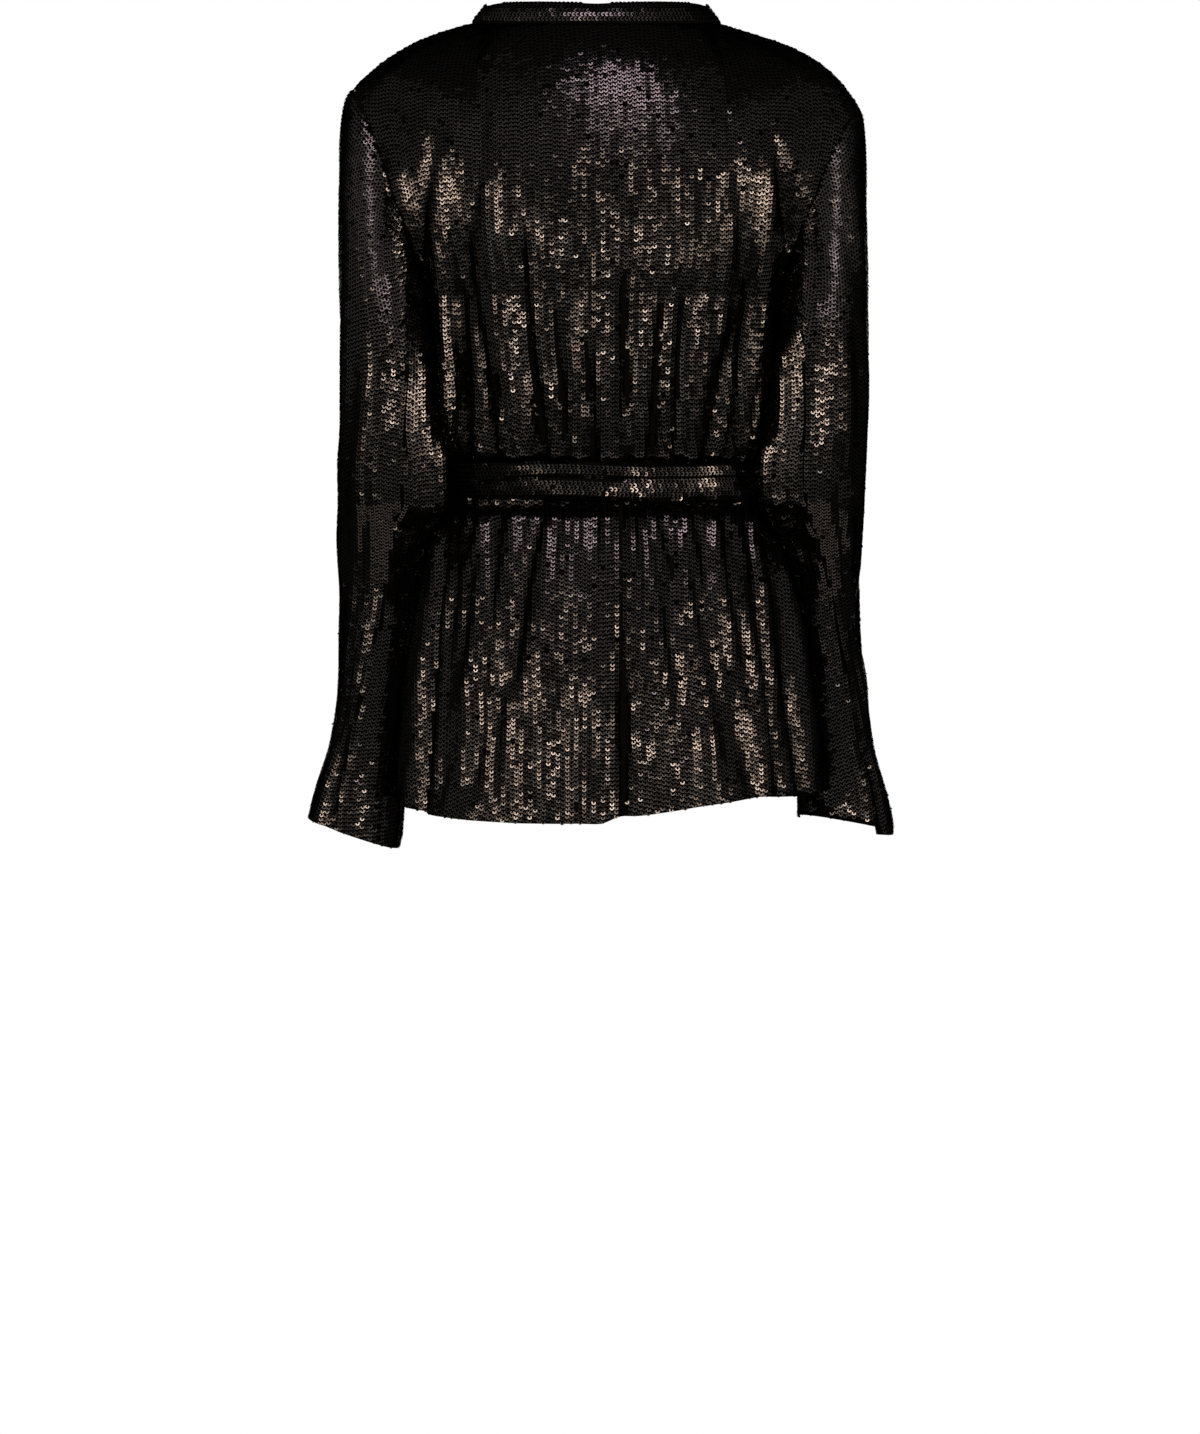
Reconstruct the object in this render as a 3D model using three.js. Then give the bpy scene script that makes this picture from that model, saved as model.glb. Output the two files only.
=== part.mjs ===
import * as THREE from 'three'

// A belted wrap blazer of black sequinned cloth, in millimetres, as it is worn.
// Z is up, the fronts face -Y, the back faces +Y and the wearer's left is +X.
// The origin is level with the shoulder at the neck, in the middle of the neck opening.

// Cloth and seams.
const WALL = 2
const SEAM = 0.3

// Heights of the main levels.
const UNDERARM_Z = -235
const BELT_TOP_Z = -376
const BELT_LOW_Z = -408
const HEM_Z = -681

// Shoulders and neck opening, seen from behind.
const NECK_X = 93
const NECK_SHIFT = 6
const NECK_SEAM_Y = 5
const NECK_BACK_Y = 62
const NECK_Z = 0
const NECK_BACK_Z = -4
const LEFT_SHOULDER = { x: 212, z: -58, slope: 0.46, power: 3, capOut: 21, capDrop: 7 }
const RIGHT_SHOULDER = { x: 219, z: -78, slope: 0.5, power: 5, capOut: 7, capDrop: 20 }
const NECK_SHARE = 0.45

// Body sections: half widths on each side of the middle, and depths behind and before it.
const BODY_SECTIONS = [
  { z: -235, left: 149, right: 149, back: 110, front: 100 },
  { z: -300, left: 146, right: 146, back: 106, front: 97 },
  { z: -340, left: 143, right: 141, back: 102, front: 93 },
  { z: -360, left: 140, right: 139, back: 97, front: 88 },
  { z: -370, left: 136, right: 136, back: 91, front: 84 },
  { z: -377, left: 131, right: 131, back: 83, front: 78 },
  { z: -392, left: 130, right: 130, back: 82, front: 77 },
  { z: -410, left: 131, right: 131.5, back: 83, front: 78 },
  { z: -420, left: 141, right: 141, back: 92, front: 86 },
  { z: -450, left: 152, right: 156, back: 105, front: 95 },
  { z: -500, left: 163, right: 169, back: 117, front: 105 },
  { z: -560, left: 172, right: 180, back: 127, front: 113 },
  { z: -620, left: 176, right: 188, back: 133, front: 119 },
  { z: -681, left: 178, right: 193, back: 137, front: 123 },
]
const SQUARENESS = 0.04

// Half width of the back between the armholes, above the underarm.
const ARMHOLE_WIDTHS = [
  { z: -235, half: 149 },
  { z: -172, half: 163 },
  { z: -112, half: 186 },
  { z: -58, half: 212 },
]

// Rows of points up a panel: levels below the underarm, and shares of the way from there to the shoulder.
const LOW_ROWS = [-681, -640, -595, -550, -505, -465, -436, -417, -409, -377, -371, -358, -330, -300, -266]
const HIGH_ROWS = 9
const BACK_COLUMNS = 50
const FRONT_COLUMNS = 19

// Control points of the upper panels between the underarm row and the shoulder seam.
const BACK_MIDDLE = { lowY: 123, lowZ: -150, highY: 106, highZ: -46 }
const BACK_ARMHOLE = { lowX: 146, lowY: 56, lowZ: -230, highX: 202, highY: 58, highZ: -69 }
const FRONT_ARMHOLE = { lowX: 146, lowY: -50, lowZ: -230, highX: 200, highY: -50, highZ: -72 }
const FRONT_NECK = { lowX: 46, lowY: -100, lowZ: -172, highX: 84, highY: -62, highZ: -52 }
const CHEST_FULLNESS = 14

// Free edge of the wearer's left front, across the middle. The right front mirrors it.
const FRONT_EDGES = [
  { z: -235, x: 22 },
  { z: -300, x: -14 },
  { z: -376, x: -50 },
  { z: -450, x: -58 },
  { z: -681, x: -66 },
]
const WRAP_LIFT = 6
const WRAP_TURNS = { start: 1.25, full: 1.6 }

// Hem of the back, as it hangs: height at each place across.
const BACK_HEM = [
  { x: -193, z: -653 },
  { x: -150, z: -652 },
  { x: -83, z: -659 },
  { x: -32, z: -666 },
  { x: -14, z: -667 },
  { x: 4, z: -673 },
  { x: 60, z: -673 },
  { x: 138, z: -670 },
  { x: 178, z: -664 },
]
const FRONT_HEM = [
  { x: 0, z: -674 },
  { x: 90, z: -670 },
  { x: 178, z: -664 },
  { x: 193, z: -653 },
]
const HEM_STARTS_Z = -560

// Folds of the back, each a trough from its upper end to its lower end.
// x and z place the ends, deep gives the depth there, and wide is half the width.
const BACK_FOLDS = [
  { upX: 160, upZ: -105, upDeep: 2, lowX: 146, lowZ: -392, lowDeep: 7, wide: 11 },
  { upX: 121, upZ: -94, upDeep: 3, lowX: 112, lowZ: -392, lowDeep: 9, wide: 12 },
  { upX: 106, upZ: -225, upDeep: 4, lowX: 88, lowZ: -392, lowDeep: 9, wide: 10 },
  { upX: 72, upZ: -178, upDeep: 6, lowX: 53, lowZ: -392, lowDeep: 16, wide: 12 },
  { upX: 42, upZ: -250, upDeep: 2, lowX: 32, lowZ: -392, lowDeep: 8, wide: 9 },
  { upX: 18, upZ: -210, upDeep: 3, lowX: 10, lowZ: -392, lowDeep: 10, wide: 9 },
  { upX: -19, upZ: -212, upDeep: 3, lowX: -24, lowZ: -392, lowDeep: 10, wide: 9 },
  { upX: -48, upZ: -238, upDeep: 4, lowX: -40, lowZ: -392, lowDeep: 9, wide: 9 },
  { upX: -66, upZ: -235, upDeep: 3, lowX: -58, lowZ: -392, lowDeep: 9, wide: 9 },
  { upX: -108, upZ: -262, upDeep: 9, lowX: -84, lowZ: -392, lowDeep: 18, wide: 14 },
  { upX: -122, upZ: -150, upDeep: 2, lowX: -112, lowZ: -392, lowDeep: 9, wide: 10 },
  { upX: -163, upZ: -118, upDeep: 6, lowX: -142, lowZ: -392, lowDeep: 10, wide: 12 },
  { upX: 122, upZ: -392, upDeep: 9, lowX: 133, lowZ: -650, lowDeep: 9, wide: 15 },
  { upX: 86, upZ: -392, upDeep: 9, lowX: 104, lowZ: -640, lowDeep: 7, wide: 13 },
  { upX: 50, upZ: -392, upDeep: 13, lowX: 86, lowZ: -600, lowDeep: 4, wide: 11 },
  { upX: 27, upZ: -392, upDeep: 8, lowX: 23, lowZ: -681, lowDeep: 7, wide: 10 },
  { upX: 9, upZ: -392, upDeep: 13, lowX: 6, lowZ: -530, lowDeep: 5, wide: 9 },
  { upX: -17, upZ: -392, upDeep: 14, lowX: -19, lowZ: -760, lowDeep: 26, wide: 11 },
  { upX: -45, upZ: -392, upDeep: 11, lowX: -70, lowZ: -580, lowDeep: 5, wide: 11 },
  { upX: -76, upZ: -392, upDeep: 10, lowX: -100, lowZ: -600, lowDeep: 5, wide: 12 },
  { upX: -108, upZ: -392, upDeep: 9, lowX: -120, lowZ: -640, lowDeep: 7, wide: 13 },
  { upX: -134, upZ: -392, upDeep: 9, lowX: -170, lowZ: -681, lowDeep: 14, wide: 16 },
]

// Folds of the two fronts, with x measured from the middle towards the piece's own side.
const LEFT_FOLDS = [
  { upX: 128, upZ: -200, upDeep: 3, lowX: 116, lowZ: -392, lowDeep: 9, wide: 12 },
  { upX: 104, upZ: -240, upDeep: 3, lowX: 90, lowZ: -392, lowDeep: 9, wide: 11 },
  { upX: 88, upZ: -190, upDeep: 4, lowX: 62, lowZ: -392, lowDeep: 11, wide: 12 },
  { upX: 50, upZ: -260, upDeep: 2, lowX: 34, lowZ: -392, lowDeep: 8, wide: 10 },
  { upX: 118, upZ: -392, upDeep: 9, lowX: 132, lowZ: -660, lowDeep: 9, wide: 15 },
  { upX: 84, upZ: -392, upDeep: 10, lowX: 100, lowZ: -700, lowDeep: 9, wide: 14 },
  { upX: 52, upZ: -392, upDeep: 9, lowX: 66, lowZ: -620, lowDeep: 5, wide: 12 },
]
const RIGHT_FOLDS = [
  { upX: 124, upZ: -180, upDeep: 3, lowX: 112, lowZ: -392, lowDeep: 10, wide: 12 },
  { upX: 100, upZ: -230, upDeep: 4, lowX: 84, lowZ: -392, lowDeep: 9, wide: 11 },
  { upX: 74, upZ: -205, upDeep: 3, lowX: 54, lowZ: -392, lowDeep: 10, wide: 11 },
  { upX: 20, upZ: -310, upDeep: 1, lowX: 12, lowZ: -392, lowDeep: 3, wide: 10 },
  { upX: 122, upZ: -392, upDeep: 10, lowX: 142, lowZ: -690, lowDeep: 12, wide: 15 },
  { upX: 90, upZ: -392, upDeep: 8, lowX: 108, lowZ: -640, lowDeep: 6, wide: 13 },
  { upX: 58, upZ: -392, upDeep: 9, lowX: 74, lowZ: -700, lowDeep: 8, wide: 13 },
]
const FOLD_FADE = 34
const BELT_PINCH = 0.32
const PINCH_REACH = 34
const FOLD_RADIUS = 120

// Where the panels lie plain: beside the armholes of the back and along the free edges of the fronts.
const PLAIN_ARMHOLE = { share: 0.88, lowZ: -300 }
const PLAIN_EDGE = { startShare: 0.6, fullShare: 0.8, lowZ: -320, highZ: -250 }

// Half width and half depth of the section that says which way a fold sinks.
const SECTION_WIDE = 150
const SECTION_DEEP = 105

// Sleeve rings: the inner and outer side, the middle and half depth, and how far the outer side hangs lower.
const LEFT_SLEEVE = [
  { z: -300, inner: 144.5, outer: 223, y: 24, deep: 56, drop: 0, twist: -10 },
  { z: -345, inner: 140.5, outer: 223.5, y: 24, deep: 54, drop: 0, twist: -18 },
  { z: -375, inner: 135.5, outer: 226, y: 22, deep: 52, drop: 0, twist: -23 },
  { z: -405, inner: 135, outer: 227, y: 15, deep: 51, drop: 0, twist: -25 },
  { z: -425, inner: 144.5, outer: 227.5, y: 0, deep: 50, drop: 0, twist: -25 },
  { z: -455, inner: 152, outer: 228, y: -20, deep: 49, drop: 0, twist: -25 },
  { z: -500, inner: 160, outer: 229, y: -42, deep: 49, drop: 0, twist: -28 },
  { z: -560, inner: 166, outer: 232, y: -62, deep: 49, drop: -4, twist: -36 },
  { z: -620, inner: 171, outer: 241, y: -76, deep: 49, drop: -12, twist: -46 },
  { z: -660, inner: 175, outer: 251, y: -81, deep: 50, drop: -20, twist: -47 },
  { z: -697, inner: 179, outer: 259, y: -83, deep: 52, drop: -27, twist: -44 },
]
const RIGHT_SLEEVE = [
  { z: -300, inner: 144.5, outer: 225, y: 24, deep: 56, drop: 0, twist: -14 },
  { z: -345, inner: 140, outer: 224, y: 24, deep: 54, drop: 0, twist: -20 },
  { z: -375, inner: 135.5, outer: 223.5, y: 22, deep: 52, drop: 0, twist: -24 },
  { z: -405, inner: 135, outer: 222.5, y: 15, deep: 51, drop: 0, twist: -27 },
  { z: -425, inner: 145, outer: 222, y: 1, deep: 50, drop: 0, twist: -28 },
  { z: -455, inner: 156, outer: 222, y: -23, deep: 49, drop: 0, twist: -30 },
  { z: -500, inner: 163, outer: 222, y: -49, deep: 49, drop: 0, twist: -36 },
  { z: -560, inner: 167, outer: 231, y: -74, deep: 49, drop: 3, twist: -44 },
  { z: -620, inner: 168, outer: 240, y: -93, deep: 49, drop: 6, twist: -54 },
  { z: -655, inner: 170, outer: 249, y: -98, deep: 49, drop: 9, twist: -60 },
  { z: -693, inner: 171, outer: 255, y: -100, deep: 50, drop: 14, twist: -63 },
]
const SLEEVE_ROWS = [-300, -330, -360, -385, -407, -427, -455, -490, -530, -570, -615, -655]
const CAP_ROWS = 4
const BACK_SEAM_COLUMN = 6
const FRONT_SEAM_COLUMN = 12
const RIGHT_CUFF_STEP = 0.27

// How the sleeve leaves the armhole: underOut and underDrop at the underarm, sideOut and sideDrop behind
// and before it, and the rise that the first ring draws it in with, under the arm and at the top.
const CAP = { underOut: 2.5, underDrop: 16, sideOut: 9, sideDrop: 14, underRise: 20, topRise: 96 }
const SLEEVE_FOLD_FADE = 60

// Sleeve folds: place round the ring in degrees from the outer side towards the back.
const SLEEVE_FOLDS = [
  { turn: 62, upZ: -120, lowZ: -690, deep: 4, wide: 22 },
  { turn: 140, upZ: -240, lowZ: -520, deep: 5, wide: 20 },
  { turn: 330, upZ: -140, lowZ: -690, deep: 4, wide: 22 },
  { turn: 225, upZ: -300, lowZ: -650, deep: 4, wide: 20 },
]

// Collar: how far it falls outside the neckline and how high it rolls above it.
const COLLAR_FALL = [
  { z: -365, fall: 14 },
  { z: -300, fall: 34 },
  { z: -200, fall: 48 },
  { z: -120, fall: 40 },
  { z: -50, fall: 24 },
  { z: 2, fall: 12 },
]
const COLLAR_BACK_FALL = 6
const COLLAR_ROLL = { middle: 11.5, side: 10, swell: 2.5 }
const COLLAR_CLEAR = 1
const COLLAR_BACK_COLUMNS = 16
const COLLAR_BACK_SLOPE = 1.1
const COLLAR_BOW = 2
const LAPEL_STAND = 4
const LAPEL_STAND_ENDS = { lowZ: -270, highZ: -190 }
const LAPEL_END_ABOVE_BELT = 8

// Small steps across a front, as shares, that find the lapel's outer edge and which way the cloth faces.
const LAPEL_STEP = 0.004
const LAPEL_PROBE = 0.02
const LEFT_LAPEL_END_Z = -330

// Belt, its knot and its two ends.
const BELT_CLEAR = 0.9
const BELT_COLUMNS = 52
const BELT_ROWS = 4
const BELT_PLEAT = 1.1
const BELT_EASE = 1.4
const BELT_LIFT_TURNS = { start: 1.15, full: 1.5 }
const KNOT = { x: 6, width: 42, height: 38, depth: 18, squareness: 0.7 }
const KNOT_COLUMNS = 16
const KNOT_ROWS = 10
const END_WIDTH = 26
const BELT_ENDS = [
  { name: 'belt_end_left', topX: 19, lowX: 44, lowZ: -602 },
  { name: 'belt_end_right', topX: -9, lowX: -30, lowZ: -628 },
]
const END_ROWS = 12
const END_CLEAR = 1
const END_LIFT = 0.8
const END_LEAVES = { topY: -4, lowY: 8, share: 0.3 }

const lerp = THREE.MathUtils.lerp
const smooth = THREE.MathUtils.smoothstep
const clamp = THREE.MathUtils.clamp
const point = (x, y, z) => new THREE.Vector3(x, y, z)

// Value of one named column of a table at a place, on a smooth line with no overshoot.
function track(table, along, column, at) {
  const rows = [...table].sort((a, b) => a[along] - b[along])
  const last = rows.length - 1
  if (at <= rows[0][along]) return rows[0][column]
  if (at >= rows[last][along]) return rows[last][column]
  let i = 0
  while (rows[i + 1][along] < at) i += 1
  const slope = (j) => (rows[j + 1][column] - rows[j][column]) / (rows[j + 1][along] - rows[j][along])
  const tangent = (j) => {
    if (j === 0) return slope(0)
    if (j === last) return slope(last - 1)
    const before = slope(j - 1)
    const after = slope(j)
    return before * after <= 0 ? 0 : 2 * before * after / (before + after)
  }
  const span = rows[i + 1][along] - rows[i][along]
  const u = (at - rows[i][along]) / span
  const start = rows[i][column] * (2 * u ** 3 - 3 * u ** 2 + 1)
  const end = rows[i + 1][column] * (3 * u ** 2 - 2 * u ** 3)
  const leave = tangent(i) * span * (u ** 3 - 2 * u ** 2 + u)
  const arrive = tangent(i + 1) * span * (u ** 3 - u ** 2)
  return start + end + leave + arrive
}

// A closed wall of cloth from a grid of outer points and the way inward at each.
function clothWall(name, outer, inward, closed = false) {
  const rows = outer.length
  const columns = outer[0].length
  const positions = []
  for (const layer of [0, WALL]) {
    for (let r = 0; r < rows; r += 1) {
      for (let c = 0; c < columns; c += 1) {
        const p = outer[r][c].clone().addScaledVector(inward[r][c], layer)
        positions.push(p.x, p.y, p.z)
      }
    }
  }
  const index = []
  const at = (layer, r, c) => layer * rows * columns + r * columns + c % columns
  const quad = (a, b, c, d) => index.push(a, b, c, a, c, d)
  const across = closed ? columns : columns - 1
  for (let r = 0; r < rows - 1; r += 1) {
    for (let c = 0; c < across; c += 1) {
      quad(at(0, r, c), at(0, r, c + 1), at(0, r + 1, c + 1), at(0, r + 1, c))
      quad(at(1, r + 1, c), at(1, r + 1, c + 1), at(1, r, c + 1), at(1, r, c))
    }
    if (!closed) {
      quad(at(0, r + 1, 0), at(1, r + 1, 0), at(1, r, 0), at(0, r, 0))
      quad(at(0, r, across), at(1, r, across), at(1, r + 1, across), at(0, r + 1, across))
    }
  }
  for (let c = 0; c < across; c += 1) {
    quad(at(0, 0, c), at(1, 0, c), at(1, 0, c + 1), at(0, 0, c + 1))
    quad(at(0, rows - 1, c + 1), at(1, rows - 1, c + 1), at(1, rows - 1, c), at(0, rows - 1, c))
  }
  return clothMesh(name, positions, index)
}

// A named mesh of the sequinned cloth, turned so that its faces point out.
function clothMesh(name, positions, index) {
  let volume = 0
  for (let i = 0; i < index.length; i += 3) {
    const [a, b, c] = [0, 1, 2].map((k) => point(...positions.slice(index[i + k] * 3, index[i + k] * 3 + 3)))
    volume += a.dot(b.cross(c))
  }
  if (volume < 0) index.reverse()
  const geometry = new THREE.BufferGeometry()
  geometry.setAttribute('position', new THREE.Float32BufferAttribute(positions, 3))
  geometry.setIndex(index)
  geometry.computeVertexNormals()
  const mesh = new THREE.Mesh(geometry, sequinCloth())
  mesh.name = name
  return mesh
}

function sequinCloth() {
  return new THREE.MeshStandardMaterial({ color: 0x1b1714, roughness: 0.32, metalness: 0.35 })
}

// The way inward at each point of a grid, square to the cloth. The flip says which side is out.
function inwardWays(outer, flip, closed = false) {
  const rows = outer.length
  const columns = outer[0].length
  return outer.map((row, r) => row.map((p, c) => {
    const right = closed ? row[(c + 1) % columns] : row[Math.min(c + 1, columns - 1)]
    const left = closed ? row[(c + columns - 1) % columns] : row[Math.max(c - 1, 0)]
    const up = outer[Math.min(r + 1, rows - 1)][c]
    const down = outer[Math.max(r - 1, 0)][c]
    const along = right.clone().sub(left)
    const rise = up.clone().sub(down)
    return along.cross(rise).multiplyScalar(flip).normalize()
  }))
}

// A smooth curve through two ends and two handles.
function bend(start, leave, arrive, end, u) {
  const v = 1 - u
  return point(0, 0, 0)
    .addScaledVector(start, v ** 3)
    .addScaledVector(leave, 3 * v * v * u)
    .addScaledVector(arrive, 3 * v * u * u)
    .addScaledVector(end, u ** 3)
}

// Body below the underarm. Turn is 0 at the middle of the back, 1 at the left side and 2 at the middle front.
function bodyPoint(turn, z) {
  const angle = turn * Math.PI / 2
  const side = Math.sin(angle)
  const facing = Math.cos(angle)
  const half = track(BODY_SECTIONS, 'z', side >= 0 ? 'left' : 'right', z)
  const depth = track(BODY_SECTIONS, 'z', facing >= 0 ? 'back' : 'front', z)
  const full = 1 + SQUARENESS * Math.sin(2 * angle) ** 2
  return point(half * side * full, depth * facing * full, z)
}

function halfWidth(z, side) {
  if (z > UNDERARM_Z) return track(ARMHOLE_WIDTHS, 'z', 'half', z)
  return track(BODY_SECTIONS, 'z', side >= 0 ? 'left' : 'right', z)
}

// How much the belt squeezes the folds at a height.
function pinch(z) {
  const reach = Math.abs(z - (BELT_TOP_Z + BELT_LOW_Z) / 2) - (BELT_TOP_Z - BELT_LOW_Z) / 2
  return lerp(BELT_PINCH, 1, smooth(reach, 0, PINCH_REACH))
}

// Depth of all the folds of a table at a place, given by its share of a quarter turn and its height.
function foldDepth(folds, share, z) {
  let total = 0
  for (const fold of folds) {
    const down = (fold.upZ - z) / (fold.upZ - fold.lowZ)
    const sharp = fold.upZ < BELT_TOP_Z
    const fadeIn = smooth(fold.upZ - z, sharp ? -1 : -FOLD_FADE, sharp ? 0 : FOLD_FADE)
    const fadeOut = smooth(z - fold.lowZ, -FOLD_FADE, FOLD_FADE / 3)
    const x = lerp(fold.upX, fold.lowX, clamp(down, 0, 1))
    const foldShare = Math.asin(clamp(x / halfWidth(z, x), -1, 1)) * 2 / Math.PI
    const away = (share - foldShare) * Math.PI / 2 * FOLD_RADIUS / fold.wide
    const deep = lerp(fold.upDeep, fold.lowDeep, clamp(down, 0, 1))
    const end = fold.lowZ > BELT_LOW_Z - 1 && z < fold.lowZ ? 0 : 1
    total += deep * fadeIn * fadeOut * end * Math.exp(-away * away)
  }
  return total * pinch(z)
}

// Sinks a point into a fold, square to the section.
function sink(p, depth) {
  const away = point(p.x / SECTION_WIDE ** 2, p.y / SECTION_DEEP ** 2, 0).normalize()
  return p.addScaledVector(away, -depth)
}

// Height of the hem's line, eased in towards the hem.
function hemHeight(table, x, z) {
  const rise = track(table, 'x', 'z', x) - HEM_Z
  const share = clamp((HEM_STARTS_Z - z) / (HEM_STARTS_Z - HEM_Z), 0, 1)
  return z + rise * share * share
}

// The rows of points that every body panel has.
const ROWS = [
  ...LOW_ROWS.map((z) => ({ z, up: 0 })),
  ...Array.from({ length: HIGH_ROWS + 1 }, (_, i) => ({ z: UNDERARM_Z, up: i / HIGH_ROWS })),
]

// Top edge of the back: the neckline and the two shoulder seams.
function backTop(share) {
  const side = Math.sign(share)
  const reach = Math.abs(share)
  if (reach <= NECK_SHARE) {
    const angle = reach / NECK_SHARE * Math.PI / 2
    return neckline(side * angle)
  }
  return shoulderSeam(side, (reach - NECK_SHARE) / (1 - NECK_SHARE))
}

// The neckline behind the neck, by the angle round it from the middle of the back.
function neckline(angle) {
  const round = Math.cos(angle)
  return point(
    NECK_SHIFT + NECK_X * Math.sin(angle),
    lerp(NECK_SEAM_Y, NECK_BACK_Y, round),
    lerp(NECK_Z, NECK_BACK_Z, round))
}

function shoulderSeam(side, out) {
  const { x, z, slope, power } = side > 0 ? LEFT_SHOULDER : RIGHT_SHOULDER
  const down = slope * out + (1 - slope) * out ** power
  return point(lerp(NECK_SHIFT + side * NECK_X, side * x, out), NECK_SEAM_Y, lerp(NECK_Z, z, down))
}

// The back panel. Share runs from -1 at the right side to 1 at the left side.
function backPoint(share, row) {
  const side = Math.sign(share)
  const reach = Math.abs(share)
  const low = bodyPoint(share, row.z)
  const folded = (p) => {
    const bare = 1 - smooth(reach, PLAIN_ARMHOLE.share, 1) * smooth(p.z, PLAIN_ARMHOLE.lowZ, UNDERARM_Z)
    return sink(p, foldDepth(BACK_FOLDS, share, p.z) * bare).add(point(0, SEAM / 2, 0))
  }
  if (row.up === 0) {
    low.z = hemHeight(BACK_HEM, low.x, row.z)
    return folded(low)
  }
  const { lowX, lowY, lowZ, highX, highY, highZ } = BACK_ARMHOLE
  const spread = Math.sin(reach * Math.PI / 2)
  const leave = point(
    side * lowX * spread,
    lerp(BACK_MIDDLE.lowY, lowY, reach ** 2.4),
    lerp(BACK_MIDDLE.lowZ, lowZ, reach ** 3))
  const arrive = point(
    side * highX * lerp(reach, spread, 0.6),
    lerp(BACK_MIDDLE.highY, highY, reach ** 2),
    lerp(BACK_MIDDLE.highZ, highZ, reach ** 2.4))
  return folded(bend(low, leave, arrive, backTop(share), row.up))
}

// How far the right front is lifted to lie over the left one.
function wrapLift(turn) {
  return WRAP_LIFT * smooth(turn, WRAP_TURNS.start, WRAP_TURNS.full)
}

// A front panel. Share runs from 0 at the side seam to 1 at the free edge; side is 1 for the left.
function frontPoint(side, share, row, folds) {
  const edgeX = track(FRONT_EDGES, 'z', 'x', row.z)
  const edgeTurn = 2 - Math.asin(edgeX / halfWidth(row.z, edgeX * side)) * 2 / Math.PI
  const turn = lerp(1, edgeTurn, share)
  const low = bodyPoint(side * turn, row.z)
  const foldShare = 2 - turn
  const lift = side < 0 ? wrapLift(turn) * (1 - row.up) : 0
  const folded = (p) => {
    const nearEdge = smooth(share, PLAIN_EDGE.startShare, PLAIN_EDGE.fullShare)
    const bare = 1 - nearEdge * smooth(p.z, PLAIN_EDGE.lowZ, PLAIN_EDGE.highZ)
    const under = side > 0 ? foldDepth(RIGHT_FOLDS, -foldShare, p.z) : 0
    const depth = foldDepth(folds, foldShare, p.z) + under
    return sink(p, depth * bare - lift).add(point(0, -SEAM / 2, 0))
  }
  if (row.up === 0) {
    low.z = hemHeight(FRONT_HEM, Math.abs(low.x), row.z)
    return folded(low)
  }
  const full = Math.sin(share * Math.PI)
  const leave = point(
    side * lerp(FRONT_ARMHOLE.lowX, FRONT_NECK.lowX, share ** 1.3),
    lerp(FRONT_ARMHOLE.lowY, FRONT_NECK.lowY, share) - CHEST_FULLNESS * full,
    lerp(FRONT_ARMHOLE.lowZ, FRONT_NECK.lowZ, share ** 0.8))
  const arrive = point(
    side * lerp(FRONT_ARMHOLE.highX, FRONT_NECK.highX, share),
    lerp(FRONT_ARMHOLE.highY, FRONT_NECK.highY, share) - CHEST_FULLNESS * full,
    lerp(FRONT_ARMHOLE.highZ, FRONT_NECK.highZ, share))
  return folded(bend(low, leave, arrive, shoulderSeam(side, 1 - share), row.up))
}

// Keeps the edges of two pieces apart at a seam: the way inward at a seam lies in the seam's plane.
function seamEdges(inward, sideColumns, topIsSeam) {
  const top = ROWS.length - 1
  inward.forEach((row, r) => row.forEach((way, c) => {
    const side = sideColumns[c]
    if (side !== undefined && ROWS[r].up === 0) way.y = 0
    if (side !== undefined && ROWS[r].up > 0) way.x = side * Math.min(side * way.x, 0)
    if (r === top && topIsSeam(c)) way.y = 0
    way.normalize()
  }))
  return inward
}

function backPanel() {
  const shares = Array.from({ length: BACK_COLUMNS + 1 }, (_, c) => c / BACK_COLUMNS * 2 - 1)
  const outer = ROWS.map((row) => shares.map((share) => backPoint(share, row)))
  const inward = inwardWays(outer, 1)
  const onShoulder = (c) => Math.abs(shares[c]) > NECK_SHARE - 0.02
  return clothWall('back', outer, seamEdges(inward, { 0: -1, [BACK_COLUMNS]: 1 }, onShoulder))
}

function frontPanel(name, side, folds) {
  const shares = Array.from({ length: FRONT_COLUMNS + 1 }, (_, c) => c / FRONT_COLUMNS)
  const outer = ROWS.map((row) => shares.map((share) => frontPoint(side, share, row, folds)))
  const inward = inwardWays(outer, side)
  return clothWall(name, outer, seamEdges(inward, { 0: side }, () => true))
}

// Points round an armhole, from the shoulder down the back edge and up the front edge.
function armhole(side, folds) {
  const ups = Array.from({ length: HIGH_ROWS + 1 }, (_, i) => ({ z: UNDERARM_Z, up: i / HIGH_ROWS }))
  const behind = ups.map((row) => backPoint(side, row)).reverse()
  const before = ups.map((row) => frontPoint(side, 0, row, folds))
  const underarm = behind[HIGH_ROWS].clone().lerp(before[0], 0.5)
  const ring = [...behind.slice(0, HIGH_ROWS), underarm, ...before.slice(1, HIGH_ROWS)]
  return ring.map((p) => p.add(point(side * SEAM, 0, 0)))
}

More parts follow.
